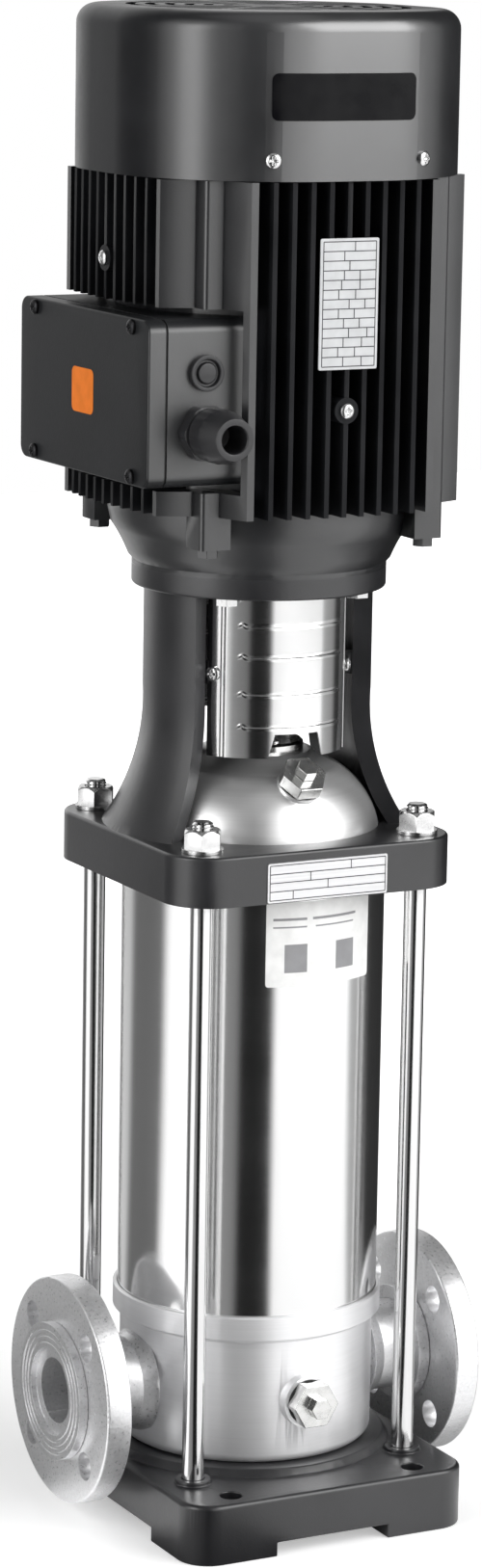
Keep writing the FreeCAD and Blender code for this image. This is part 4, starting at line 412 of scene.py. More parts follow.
@dataclass(frozen=True)
class Moulded:
    """Plastic, rubber, paper or foil: an even colour with a moulded grain."""

    name: str
    colour: Colour
    roughness: float = 0.5
    grain: float = 0.00003
    coat: float = 0.0
    specular: float = 0.5

    def build(self) -> bpy.types.Material:
        """Makes the material."""
        material, graph, base = shader(self.name)
        place = graph.place()
        cloud = graph.noise(place, 90.0, 3.0)
        graph.put(base, {
            "Base Color": graph.blend(cloud, self.colour, toned(self.colour, 0.88, 0.003), 0.35, 0.65),
            "Roughness": graph.gloss(cloud, self.roughness, 0.05, 0.07),
            "Coat Weight": self.coat,
            "Specular IOR Level": self.specular,
            "Normal": graph.bump(graph.noise(place, 1500.0, 2.0), self.grain)})
        return material


Finish = Enamel | BrushedMetal | TurnedMetal | PlainMetal | Moulded

BLACK = (0.0070, 0.0073, 0.0085)
FINISHES: dict[str, Finish] = {finish.name: finish for finish in (
    Enamel("motor_enamel", BLACK, 0.34, 0.8, coat_ior=1.6),
    # fins and front set painted sheen and shade by place on the frame, cover and box enamels
    Enamel("frame_enamel", BLACK, 0.34, 0.8, coat_ior=1.6, fins=0.052),
    Enamel("cover_enamel", BLACK, 0.34, 1.0, 0.00002, coat_ior=1.95, front=0.055),
    Enamel("box_enamel", (0.010, 0.0105, 0.0115), 0.40, 0.8, coat_ior=1.7, front=0.089, front_blend=0.001),
    Enamel("cast_enamel", (0.009, 0.009, 0.0105), 0.36, 0.6, 0.00005, 0.00008),
    BrushedMetal("sleeve_steel", (0.80, 0.80, 0.80), 0.14, Axis.Z, True, 0.0000012, 0.02, 0.04),
    BrushedMetal("housing_steel", (0.90, 0.90, 0.91), 0.36, Axis.Z, True, 0.0000006, 0.05, 0.05, 0.6),
    BrushedMetal("dome_steel", (0.84, 0.84, 0.84), 0.34, Axis.Z, True, 0.000003, 0.05, 0.06, 0.85),
    BrushedMetal("rod_steel", (0.82, 0.82, 0.82), 0.12, Axis.Z, False, 0.000004, 0.05),
    BrushedMetal("guard_steel", (0.82, 0.82, 0.82), 0.14, Axis.Z, True, 0.000001, 0.02, 0.04),
    BrushedMetal("shaft_steel", (0.5, 0.5, 0.5), 0.3, Axis.Z, True, 0.00001, 0.08),
    BrushedMetal("inner_steel", (0.68, 0.68, 0.67), 0.3, Axis.Z, True, 0.00001, 0.08),
    BrushedMetal("plate_metal", (0.72, 0.72, 0.73), 0.35, Axis.X, False, 0.000006, 0.1),
    TurnedMetal("flange_steel", (0.90, 0.90, 0.91), 0.30, 0.000012),
    TurnedMetal("lap_steel", (0.80, 0.80, 0.81), 0.3, 0.00003),
    PlainMetal("plug_steel", (0.74, 0.74, 0.73), 0.2),
    PlainMetal("zinc_steel", (0.72, 0.72, 0.72), 0.2),
    PlainMetal("cast_aluminium", (0.6, 0.6, 0.61), 0.45),
    PlainMetal("winding_copper", (0.62, 0.33, 0.17), 0.4),
    PlainMetal("sunk_screw", (0.035, 0.035, 0.037), 0.4),
    Moulded("hard_ring", (0.05, 0.05, 0.055), 0.25),
    Moulded("seal_rubber", (0.022, 0.022, 0.022), 0.65, 0.00005),
    Moulded("gland_plastic", (0.018, 0.018, 0.02), 0.38, 0.00004, 0.2),
    Moulded("block_plastic", (0.35, 0.08, 0.04), 0.5),
    Moulded("plate_white", (0.60, 0.61, 0.62), 0.4, 0.00001, 0.3),
    Moulded("badge_black", (0.003, 0.003, 0.004), 0.2, 0.00001, specular=0.12),
    Moulded("label_paper", (0.95, 0.95, 0.94), 0.45, 0.00001, 0.3),
    Moulded("label_ink", (0.03, 0.03, 0.033), 0.5, 0.00001),
    Moulded("label_grey", (0.30, 0.30, 0.31), 0.5, 0.00001),
    Moulded("patch_foil", (0.85, 0.20, 0.008), 0.45, 0.00001, specular=0.15),
)}


class Paintbox:
    """Builds each finish once and hands it out by name."""

    def __init__(self) -> None:
        """Starts with no material made."""
        self.made: dict[str, bpy.types.Material] = {}

    def get(self, name: str) -> bpy.types.Material:
        """Material of a finish."""
        if name not in self.made:
            self.made[name] = FINISHES[name].build()
        return self.made[name]


PAINT = Paintbox()


# Meshes


def outward(mesh: bpy.types.Mesh, merge: float = 2e-6) -> None:
    """Merges doubles and turns the faces of a closed mesh outwards.

    Args:
        mesh: The mesh.
        merge: Points closer than this, in metres, become one.
    """
    work = bmesh.new()
    work.from_mesh(mesh)
    bmesh.ops.remove_doubles(work, verts=work.verts, dist=merge)
    bmesh.ops.recalc_face_normals(work, faces=work.faces)
    work.to_mesh(mesh)
    work.free()


def shade(mesh: bpy.types.Mesh, angle: float) -> None:
    """Smooth shading with sharp edges where faces turn by more than an angle in degrees."""
    mesh.shade_smooth()
    mesh.set_sharp_from_angle(angle=math.radians(angle))


def added(name: str, mesh: bpy.types.Mesh, finish: str, body: str, stands_for: tuple[str, ...] = ()) -> bpy.types.Object:
    """Puts a finished mesh into the scene as a piece.

    Args:
        name: Name of the piece.
        mesh: Its mesh, in place.
        finish: Name of its finish.
        body: Body that it rides on.
        stands_for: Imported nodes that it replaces.

    Returns:
        The new object.
    """
    piece = bpy.data.objects.new(name, mesh)
    bpy.context.scene.collection.objects.link(piece)
    mesh.materials.clear()
    mesh.materials.append(PAINT.get(finish))
    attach(piece, body)
    if stands_for:
        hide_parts(*stands_for)
    LOG.info("%s: %d faces", name, len(mesh.polygons))
    return piece


def grid_faces(rows: int, columns: int, closed_rows: bool, closed_columns: bool) -> np.ndarray:
    """Corner numbers of a grid's quads: each joins point (i, j) with its next in both directions.

    Args:
        rows: Rows of points.
        columns: Columns of points.
        closed_rows: Whether the last row joins the first.
        closed_columns: Whether the last column joins the first.

    Returns:
        Four point numbers for each quad.
    """
    number = np.arange(rows * columns).reshape(rows, columns)
    if closed_rows:
        number = np.vstack([number, number[:1]])
    if closed_columns:
        number = np.hstack([number, number[:, :1]])
    quads = np.stack([number[:-1, :-1], number[:-1, 1:], number[1:, 1:], number[1:, :-1]], axis=-1)
    return quads.reshape(-1, 4)


def surface(name: str, grids: list[np.ndarray], closed_rows: bool = False, closed_columns: bool = True,
            angle: float = 32.0) -> bpy.types.Mesh:
    """Mesh of one or more grids of points, each rows by columns by 3, in metres.

    A flat face closes the first and the last row, unless these are joined.

    Args:
        name: Name of the mesh.
        grids: The grids.
        closed_rows: Whether the last row joins the first.
        closed_columns: Whether the last column joins the first.
        angle: Edges that turn by more than this many degrees stay sharp.

    Returns:
        The mesh, merged and facing outwards.
    """
    points, faces, start = [], [], 0
    for grid in grids:
        rows, columns = grid.shape[:2]
        points.append(grid.reshape(-1, 3))
        faces += (grid_faces(rows, columns, closed_rows, closed_columns) + start).tolist()
        if not closed_rows:
            ring = np.arange(columns)
            faces.append((ring[::-1] + start).tolist())
            faces.append((ring + (rows - 1) * columns + start).tolist())
        start += rows * columns
    mesh = bpy.data.meshes.new(name)
    mesh.from_pydata(np.vstack(points).tolist(), [], faces)
    outward(mesh)
    shade(mesh, angle)
    return mesh


def lathe(profile: list[tuple[float, float]], segments: int = 192) -> np.ndarray:
    """Surface of revolution about Z: each profile point goes round a full circle at its own height.

    Args:
        profile: Radius and height of each point in mm.
        segments: Points on the circle.

    Returns:
        Grid of points in metres.
    """
    line = np.array(profile, float) * MM
    turn = np.linspace(0, 2 * math.pi, segments, endpoint=False)
    x = line[:, :1] * np.cos(turn)
    y = line[:, :1] * np.sin(turn)
    z = np.repeat(line[:, 1:], segments, axis=1)
    return np.stack([x, y, z], axis=-1)


def aimed(grid: np.ndarray, at: Point, direction: Point) -> np.ndarray:
    """Grid made along Z from the origin, moved so that it starts at a point in mm and runs in a direction."""
    turn = np.array(Vector(direction).to_track_quat("Z", "Y").to_matrix())
    return grid @ turn.T + np.array(at) * MM


def eased(points: list[tuple[float, float]], radius: float, steps: int = 5) -> list[tuple[float, float]]:
    """Line with rounded corners: each inner corner becomes an arc from one of its sides to the other.

    With s from 0 to 1, the arc is (1 - s)^2 times its start, 2 s (1 - s) times the corner and s^2 times its
    end.

    Args:
        points: Corner points of an open line.
        radius: Distance from a corner at which its arc starts, cut back on short sides.
        steps: Points on each arc.

    Returns:
        The rounded line.
    """
    line = [np.array(p, float) for p in points]
    out = [points[0]]
    for before, corner, after in zip(line[:-2], line[1:-1], line[2:]):
        to_before, to_after = before - corner, after - corner
        reach = min(radius, np.linalg.norm(to_before) * 0.45, np.linalg.norm(to_after) * 0.45)
        start = corner + to_before / np.linalg.norm(to_before) * reach
        end = corner + to_after / np.linalg.norm(to_after) * reach
        share = np.linspace(0, 1, steps)[:, None]
        arc = (1 - share) ** 2 * start + 2 * share * (1 - share) * corner + share ** 2 * end
        out += [tuple(p) for p in arc]
    out.append(points[-1])
    return out


def rounded_outline(width: float, height: float, radius: float, steps: int = 8) -> np.ndarray:
    """Corner points of a rounded rectangle about the origin: a quarter circle at each corner.

    Args:
        width: Whole width.
        height: Whole height.
        radius: Radius of the corners.
        steps: Points on each corner.

    Returns:
        Points by 2, in the unit of the sizes.
    """
    quarter = np.linspace(0, math.pi / 2, steps)
    rows = []
    for k, (sx, sy) in enumerate(((1, 1), (-1, 1), (-1, -1), (1, -1))):
        turn = quarter + k * math.pi / 2
        rows.append(np.stack([sx * (width / 2 - radius) + radius * np.cos(turn),
                              sy * (height / 2 - radius) + radius * np.sin(turn)], axis=-1))
    return np.vstack(rows)


def front_slab(middle: Point, width: float, height: float, radius: float, thick: float,
               crown: float = 0.25) -> np.ndarray:
    """Rounded slab that faces -Y, with a slightly rounded front edge. All sizes are in mm.

    Args:
        middle: Middle of its back.
        width: Whole width.
        height: Whole height.
        radius: Radius of the corners.
        thick: Thickness.
        crown: How far the front edge is cut back.

    Returns:
        Grid of points in metres.
    """
    line = rounded_outline(width, height, radius)
    inner = rounded_outline(width - 2 * crown, height - 2 * crown, max(radius - crown, 0.05))
    rows = [(line, 0.0), (line, thick - crown), (inner, thick)]
    grids = [np.stack([p[:, 0] + middle[0], np.full(len(p), middle[1] - d), p[:, 1] + middle[2]], axis=-1)
             for p, d in rows]
    return np.stack(grids) * MM


def node_points(name: str) -> np.ndarray:
    """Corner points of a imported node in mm."""
    return np.array([v.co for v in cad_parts[name].data.vertices]) / MM


# Sub-assemblies


@dataclass
class SubAssembly:
    """What each sub-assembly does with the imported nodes. Lengths in metres, angles in degrees."""

    sharp: float = 32.0
    merge: float = 1e-6
    flat: float = 0.6

    def dress(self, node: str, finish: str, edge: float, body: str = "pump") -> bpy.types.Object:
        """Copies a node, merges its triangles into whole faces and rounds its edges.

        Args:
            node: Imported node.
            finish: Name of its finish.
            edge: Width of the rounded edges in mm.
            body: Body that it rides on.

        Returns:
            The piece that stands for the node.
        """
        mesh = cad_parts[node].data.copy()
        work = bmesh.new()
        work.from_mesh(mesh)
        bmesh.ops.remove_doubles(work, verts=work.verts, dist=self.merge)
        bmesh.ops.dissolve_degenerate(work, edges=work.edges, dist=self.merge)
        bmesh.ops.dissolve_limit(work, angle_limit=math.radians(self.flat), verts=work.verts,
                                 edges=work.edges)
        work.to_mesh(mesh)
        work.free()
        shade(mesh, self.sharp)
        piece = added(node + ".dressed", mesh, finish, body, (node,))
        bevel = piece.modifiers.new("edges", "BEVEL")
        bevel.width = edge * MM
        bevel.segments = 2
        bevel.limit_method = "ANGLE"
        bevel.angle_limit = math.radians(self.sharp)
        bevel.use_clamp_overlap = True
        bevel.harden_normals = True
        return piece

    def keep(self, node: str, finish: str) -> None:
        """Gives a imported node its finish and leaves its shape.

        Args:
            node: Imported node.
            finish: Name of its finish.
        """
        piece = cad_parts[node]
        piece.data.materials.clear()
        piece.data.materials.append(PAINT.get(finish))
        LOG.info("%s keeps its shape", node)


@dataclass
class BaseAndPorts(SubAssembly):
    """Cast base, bottom housing, ports and drain."""

    def build(self) -> None:
        """Makes and dresses the pieces."""
        self.dress("base_plate", "cast_enamel", 1.2)
        self.dress("bottom_housing", "housing_steel", 0.5)
        self.dress("port_stubs", "lap_steel", 0.3)
        self.dress("inlet_flange", "flange_steel", 0.7, "inlet_flange_ring")
        self.dress("outlet_flange", "flange_steel", 0.7, "outlet_flange_ring")
        self.dress("flange_retainers", "lap_steel", 0.5)
        self.dress("sleeve_seat_ring", "housing_steel", 0.4)
        self.dress("drain_plug", "plug_steel", 0.7)
        self.dress("drain_spindle", "plug_steel", 0.5, "drain_bleed")
        self.keep("flat_gaskets", "seal_rubber")


@dataclass
class ThreadedRods:
    """Four staybolts with rolled threads at their upper ends, in mm."""

    radius: float = 7.0
    pitch: float = 2.0
    depth: float = 1.1
    thread: float = 34.0
    run_in: float = 3.0
    step: float = 0.25
    chamfer: float = 1.2
    chamfer_height: float = 1.0
    columns: int = 48

    def rod(self, x: float, y: float, z0: float, z1: float) -> np.ndarray:
        """Round bar whose radius drops near its top by a triangle wave of height over pitch minus turn.

        Args:
            x: Place of its axis.
            y: Place of its axis.
            z0: Height of its lower end.
            z1: Height of its upper end.

        Returns:
            Grid of points in metres.
        """
        thread = z1 - self.thread
        rows = np.concatenate([[z0, z0 + self.chamfer_height], np.linspace(z0 + 1.2, thread, 12),
                               np.arange(thread + self.step, z1 - self.chamfer_height, self.step),
                               [z1 - self.chamfer_height, z1]])
        turn = np.linspace(0, 2 * math.pi, self.columns, endpoint=False)
        phase = (rows[:, None] / self.pitch - turn / (2 * math.pi)) % 1.0
        wave = 1 - np.abs(2 * phase - 1)
        start = np.clip((rows - thread) / self.run_in, 0, 1)[:, None]
        end = np.where((rows == z0) | (rows == z1), self.chamfer, 0.0)[:, None]
        radius = self.radius - self.depth * (1 - wave) * start - end
        z = np.repeat(rows[:, None], self.columns, 1)
        return np.stack([x + radius * np.cos(turn), y + radius * np.sin(turn), z], axis=-1) * MM

    def build(self) -> None:
        """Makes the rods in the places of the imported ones."""
        low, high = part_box("staybolts")
        reach_x = high.x / MM - self.radius
        reach_y = high.y / MM - self.radius
        grids = [self.rod(side_x * reach_x, side_y * reach_y, low.z / MM, high.z / MM)
                 for side_x in (-1, 1) for side_y in (-1, 1)]
        mesh = surface("staybolts", grids, angle=25.0)
        added("staybolt_rods", mesh, "rod_steel", "pump", ("staybolts",))


@dataclass
class PumpStack(SubAssembly):
    """Outer sleeve, head cover, vent and the sealed stages, in mm."""

    wall: float = 1.5
    rings: int = 24

    def sleeve(self) -> None:
        """Thin tube: outer wall up, rim, inner wall down."""
        low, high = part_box("outer_sleeve")
        radius, z0, z1 = high.x / MM, low.z / MM, high.z / MM
        profile = [(radius, z) for z in np.linspace(z0, z1, self.rings)]
        profile += [(radius - self.wall, z1), (radius - self.wall, z0)]
        mesh = surface("outer_sleeve", [lathe(profile, 256)], closed_rows=True)
        added("sleeve_tube", mesh, "sleeve_steel", "pump", ("outer_sleeve",))

    def build(self) -> None:
        """Makes and dresses the pieces."""
        self.sleeve()
        self.dress("head_cover", "dome_steel", 0.4)
        self.dress("vent_plug", "plug_steel", 0.7)
        self.dress("vent_spindle", "plug_steel", 0.5, "vent_bleed")
        for node in ("inlet_guide", "stage_chambers", "top_chamber", "stack_straps", "impellers",
                     "impeller_spacers", "shaft_nut", "seal_spring"):
            self.keep(node, "inner_steel")
        for node in ("guide_bushes", "bush_sleeves", "seal_stationary_ring", "seal_rotating_ring"):
            self.keep(node, "hard_ring")
        self.keep("neck_rings", "gland_plastic")
        self.keep("sleeve_seals", "seal_rubber")
        self.keep("seal_gland", "plug_steel")
        self.keep("pump_shaft", "shaft_steel")


@dataclass
class Guard:
    """Curved coupling guards with pressed louvres, side beads and a notch for the vent, in mm and degrees."""

    thick: float = 1.0
    half_angle: float = 61.0
    louvres: tuple[float, ...] = (19.0, 39.5, 63.0, 82.5)
    louvre_half: float = 39.0
    louvre_fade: float = 1.6
    lip: float = 0.45
    lip_width: float = 0.55
    hook: float = 1.4
    hook_inset: float = 1.5
    hook_width: float = 2.0
    bead_angle: float = 50.0
    bead_width: float = 0.8
    bead: float = 1.3
    notch_half: float = 19.0
    notch_top: float = 15.0
    notch_height: float = 15.0
    rows: int = 230
    side_columns: int = 64
    notch_columns: int = 28
    ramp_columns: int = 8

    def radius_change(self, angle: np.ndarray, height: np.ndarray) -> np.ndarray:
        """Pressed relief: each louvre is the slope of a bell curve of height, each bead a dip of angle.

        Args:
            angle: Angle from the sheet's middle.
            height: Height above the sheet's lower edge.

        Returns:
            What is added to the sheet's radius.
        """
        relief = -self.bead * np.exp(-((np.abs(angle) - self.bead_angle) / self.bead_width) ** 2)
        ends = 1 / (1 + np.exp((np.abs(angle) - self.louvre_half) * self.louvre_fade))
        hook = self.hook * np.exp(-((angle + self.louvre_half - self.hook_inset) / self.hook_width) ** 2)
        for level in self.louvres:
            way = (height - level - hook) / self.lip_width
            relief = relief + self.lip * ends * way * np.exp(0.5 - way ** 2 / 2)
        return relief

    def sheet(self, low: float, high: float, radius: float, middle: float) -> np.ndarray:
        """Closed sheet: outer face up, inner face down, its lower edge raised over the notch.

        Args:
            low: Height of the lower edge.
            high: Height of the upper edge.
            radius: Outer radius.
            middle: Compass angle of the sheet's middle, counted from +X.

        Returns:
            Grid of points in metres.
        """
        foot, top = (math.degrees(math.asin(half / radius)) for half in (self.notch_half, self.notch_top))
        side = np.linspace(foot, self.half_angle, self.side_columns)
        ramp = np.linspace(top, foot, self.ramp_columns)[1:-1]
        notch = np.linspace(-top, top, self.notch_columns)
        angle = np.concatenate([-side[::-1], -ramp[::-1], notch, ramp, side])
        lift = np.interp(np.abs(angle), [top, foot], [self.notch_height, 0.0])
        height = np.maximum(np.linspace(0, high - low, self.rows)[:, None], lift)
        outer = radius + self.radius_change(angle[None, :], height)
        turn = np.radians(angle + middle)[None, :]
        faces = [np.stack([r * np.cos(turn), r * np.sin(turn), height + low], axis=-1)
                 for r in (outer, outer - self.thick)]
        return np.vstack([faces[0], faces[1][::-1]]) * MM

    def close_sides(self, mesh: bpy.types.Mesh) -> None:
        """Closes the two upright edges of a sheet and faces it outwards."""
        work = bmesh.new()
        work.from_mesh(mesh)
        edges = [e for e in work.edges if e.is_boundary]
        bmesh.ops.holes_fill(work, edges=edges, sides=0)
        bmesh.ops.recalc_face_normals(work, faces=work.faces)
        work.to_mesh(mesh)
        work.free()
        shade(mesh, 40.0)

    def build(self) -> None:
        """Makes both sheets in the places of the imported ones."""
        for node, middle in (("coupling_guard_front", 270.0), ("coupling_guard_rear", 90.0)):
            points = node_points(node)
            radius = np.hypot(points[:, 0], points[:, 1]).max()
            grid = self.sheet(points[:, 2].min(), points[:, 2].max(), radius, middle)
            mesh = surface(node, [grid], closed_rows=True, closed_columns=False)
            self.close_sides(mesh)
            added(node + ".sheet", mesh, "guard_steel", "pump", (node,))


@dataclass
class Stool(SubAssembly):
    """Cast motor stool with its nuts, the motor's bolts and the coupling inside, in mm."""

    enamel_from: float = 10.0

    def blacken(self, piece: bpy.types.Object, height: float) -> None:
        """Gives the faces of a piece above a height the motor's enamel.

        Args:
            piece: The piece.
            height: The height in metres.
        """
        mesh = piece.data
        mesh.materials.append(PAINT.get("motor_enamel"))
        centres = np.empty(len(mesh.polygons) * 3)
        mesh.polygons.foreach_get("center", centres)
        above = (centres.reshape(-1, 3)[:, 2] > height).astype(np.int32)
        mesh.polygons.foreach_set("material_index", above)
        mesh.update()

    def build(self) -> None:
        """Makes and dresses the pieces."""
        self.dress("motor_stool", "cast_enamel", 1.4)
        self.dress("staybolt_nuts", "zinc_steel", 0.5)
        self.dress("staybolt_washers", "zinc_steel", 0.3)
        bolts = self.dress("hexagon_bolts", "zinc_steel", 0.4)
        self.blacken(bolts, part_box("motor_stool")[1].z + self.enamel_from * MM)
        self.dress("coupling_half_front", "shaft_steel", 0.5, "rotor")
        self.dress("coupling_half_rear", "shaft_steel", 0.5, "rotor")
        self.keep("coupling_screws", "zinc_steel")
        self.keep("coupling_pin", "zinc_steel")


@dataclass
class Motor(SubAssembly):
    """Motor frame, shields, fan cover and what turns inside."""

    def build(self) -> None:
        """Makes and dresses the pieces."""
        self.dress("motor_frame", "frame_enamel", 0.7)
        self.dress("drive_end_shield", "motor_enamel", 1.0)
        self.dress("fan_end_shield", "motor_enamel", 0.5)
        self.dress("fan_cover", "cover_enamel", 0.4)
        for node, finish in (("motor_shaft", "shaft_steel"), ("rotor_core", "cast_aluminium"),
                             ("stator", "winding_copper"), ("bearing_inner_rings", "shaft_steel"),
                             ("bearing_outer_rings", "shaft_steel"), ("bearing_balls", "zinc_steel"),
                             ("cooling_fan", "gland_plastic")):
            self.keep(node, finish)


@dataclass
class TerminalBox(SubAssembly):
    """Terminal box with its lid, gland and plug, in mm. The gland's levels count from the box's front."""

    plug_head: float = 4.0
    plug_shank: float = 0.7
    plug_rim: float = 8.6
    plug_button: float = 6.0
    plug_groove: float = 2.6
    gland_shank: float = 9.0
    gland_base: float = 17.5
    gland_flats: float = 1.06
    gland_waist: float = 14.2
    gland_dome: float = 16.6
    gland_rim: float = 12.6
    gland_hole: float = 8.4
    gland_ribs: int = 18
    gland_rib: float = 0.35
    gland_levels: tuple[float, ...] = (9.0, 9.4, 11.4, 11.8, 16.0, 24.0, 29.0)

    def seat(self, node: str) -> tuple[Point, float, float]:
        """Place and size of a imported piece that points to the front.

        Args:
            node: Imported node.

        Returns:
            Middle of its back, its radius and its length in mm.
        """
        low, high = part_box(node)
        centre = ((low.x + high.x) / 2 / MM, high.y / MM, (low.z + high.z) / 2 / MM)
        return centre, (high.x - low.x) / 2 / MM, (high.y - low.y) / MM

    def turned(self, name: str, node: str, grid: np.ndarray) -> None:
        """Piece in the place of a packed one, from a grid that was made along Z."""
        grid = aimed(grid, self.seat(node)[0], (0.0, -1.0, 0.0))
        added(name, surface(name, [grid]), "gland_plastic", "pump", (node,))

    def gland(self) -> None:
        """Cable gland: a body with six flats and a domed nut with grip ribs, turned about its own axis.

        The flats take the radius r to min(r, a / cos(t)), where a is half the width across the flats and t
        the angle from the middle of the nearest flat. The ribs take a cosine of the angle off it.
        """
        length = self.seat("cable_gland")[2]
        start = length - (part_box("terminal_box")[0].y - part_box("cable_gland")[0].y) / MM
        base_top, waist_low, waist_high, dome_low, pit, dome_high, shoulder = (start + level
                                                                               for level in self.gland_levels)
        profile = [(self.gland_shank, 0.0), (self.gland_shank, start), (self.gland_base, start),
                   (self.gland_base, base_top), (self.gland_waist, waist_low), (self.gland_waist, waist_high),
                   (self.gland_dome, dome_low), (self.gland_dome, dome_high),
                   (self.gland_dome - 1.2, shoulder), (self.gland_rim, length),
                   (self.gland_hole + 0.6, length), (self.gland_hole, length - 0.8), (self.gland_hole, pit),
                   (0.05, pit)]
        grid = lathe(eased(profile, 0.4), 144)
        height = grid[..., 2] / MM
        radius = np.linalg.norm(grid[..., :2], axis=-1) / MM
        angle = np.arctan2(grid[..., 1], grid[..., 0])
        flat = np.mod(angle, math.pi / 3) - math.pi / 6
        half = self.gland_base * math.cos(math.pi / 6) * self.gland_flats
        hexagon = np.minimum(radius, half / np.cos(flat))
        ribbed = radius - self.gland_rib * (0.5 - 0.5 * np.cos(self.gland_ribs * angle))
        on_base = (height > start - 0.01) & (height < base_top + 0.2)
        on_dome = (height > dome_low + 0.2) & (height < shoulder - 1.0) & (radius > self.gland_waist)
        wanted = np.where(on_base, hexagon, np.where(on_dome, ribbed, radius))
        grid[..., :2] *= (wanted / np.maximum(radius, 1e-6))[..., None]
        self.turned("gland_body", "cable_gland", grid)

    def plug(self) -> None:
        """Round plug with a raised rim and a button in its hollow, turned about its own axis."""
        _, radius, length = self.seat("blanking_plug")
        head, hollow, shank = length - self.plug_head, length - self.plug_groove, radius * self.plug_shank
        profile = [(shank, 0.0), (shank, head), (radius, head), (radius, length), (self.plug_rim, length),
                   (self.plug_rim - 0.6, hollow), (self.plug_button + 0.6, hollow),
                   (self.plug_button, length - 0.6), (0.05, length - 0.4)]
        self.turned("entry_plug", "blanking_plug", lathe(eased(profile, 0.5), 72))

    def build(self) -> None:
        """Makes and dresses the pieces."""
        self.dress("terminal_box", "box_enamel", 1.0)
        self.dress("terminal_lid", "box_enamel", 0.8)
        self.gland()
        self.plug()


@dataclass
class ScrewHead:
    """Pan head with a cross recess, in mm."""

    radius: float = 4.6
    height: float = 3.0
    drop: float = 0.45
    recess: float = 1.7
    arm: float = 0.62
    arm_reach: float = 0.52
    steps: int = 34

    def grid(self) -> np.ndarray:
        """Dome over a disc: its height falls with the fourth power of the radius, less a cross-shaped pit.

        Returns:
            Grid of points in metres, from the middle outwards, with the wall as its last row.
        """
        turn = np.linspace(0, 2 * math.pi, 72, endpoint=False)
        share = np.concatenate([[0.004], np.linspace(0.05, 1.0, self.steps)])[:, None]
        x = share * self.radius * np.cos(turn)
        y = share * self.radius * np.sin(turn)
        dome = self.height * (1 - self.drop * share ** 4 * np.ones_like(turn))
        bar = np.minimum(np.abs(x), np.abs(y))
        reach = np.maximum(np.abs(x), np.abs(y))
        across = 1 / (1 + np.exp((bar - self.arm) * 9))
        pit = across / (1 + np.exp((reach - self.radius * self.arm_reach) * 7))
        top = np.stack([x, y, dome - self.recess * pit * (1 - reach / self.radius * 0.6)], axis=-1)
        wall = np.stack([top[-1, :, 0], top[-1, :, 1], np.zeros(len(turn))], axis=-1)[None]
        return np.vstack([top, wall]) * MM


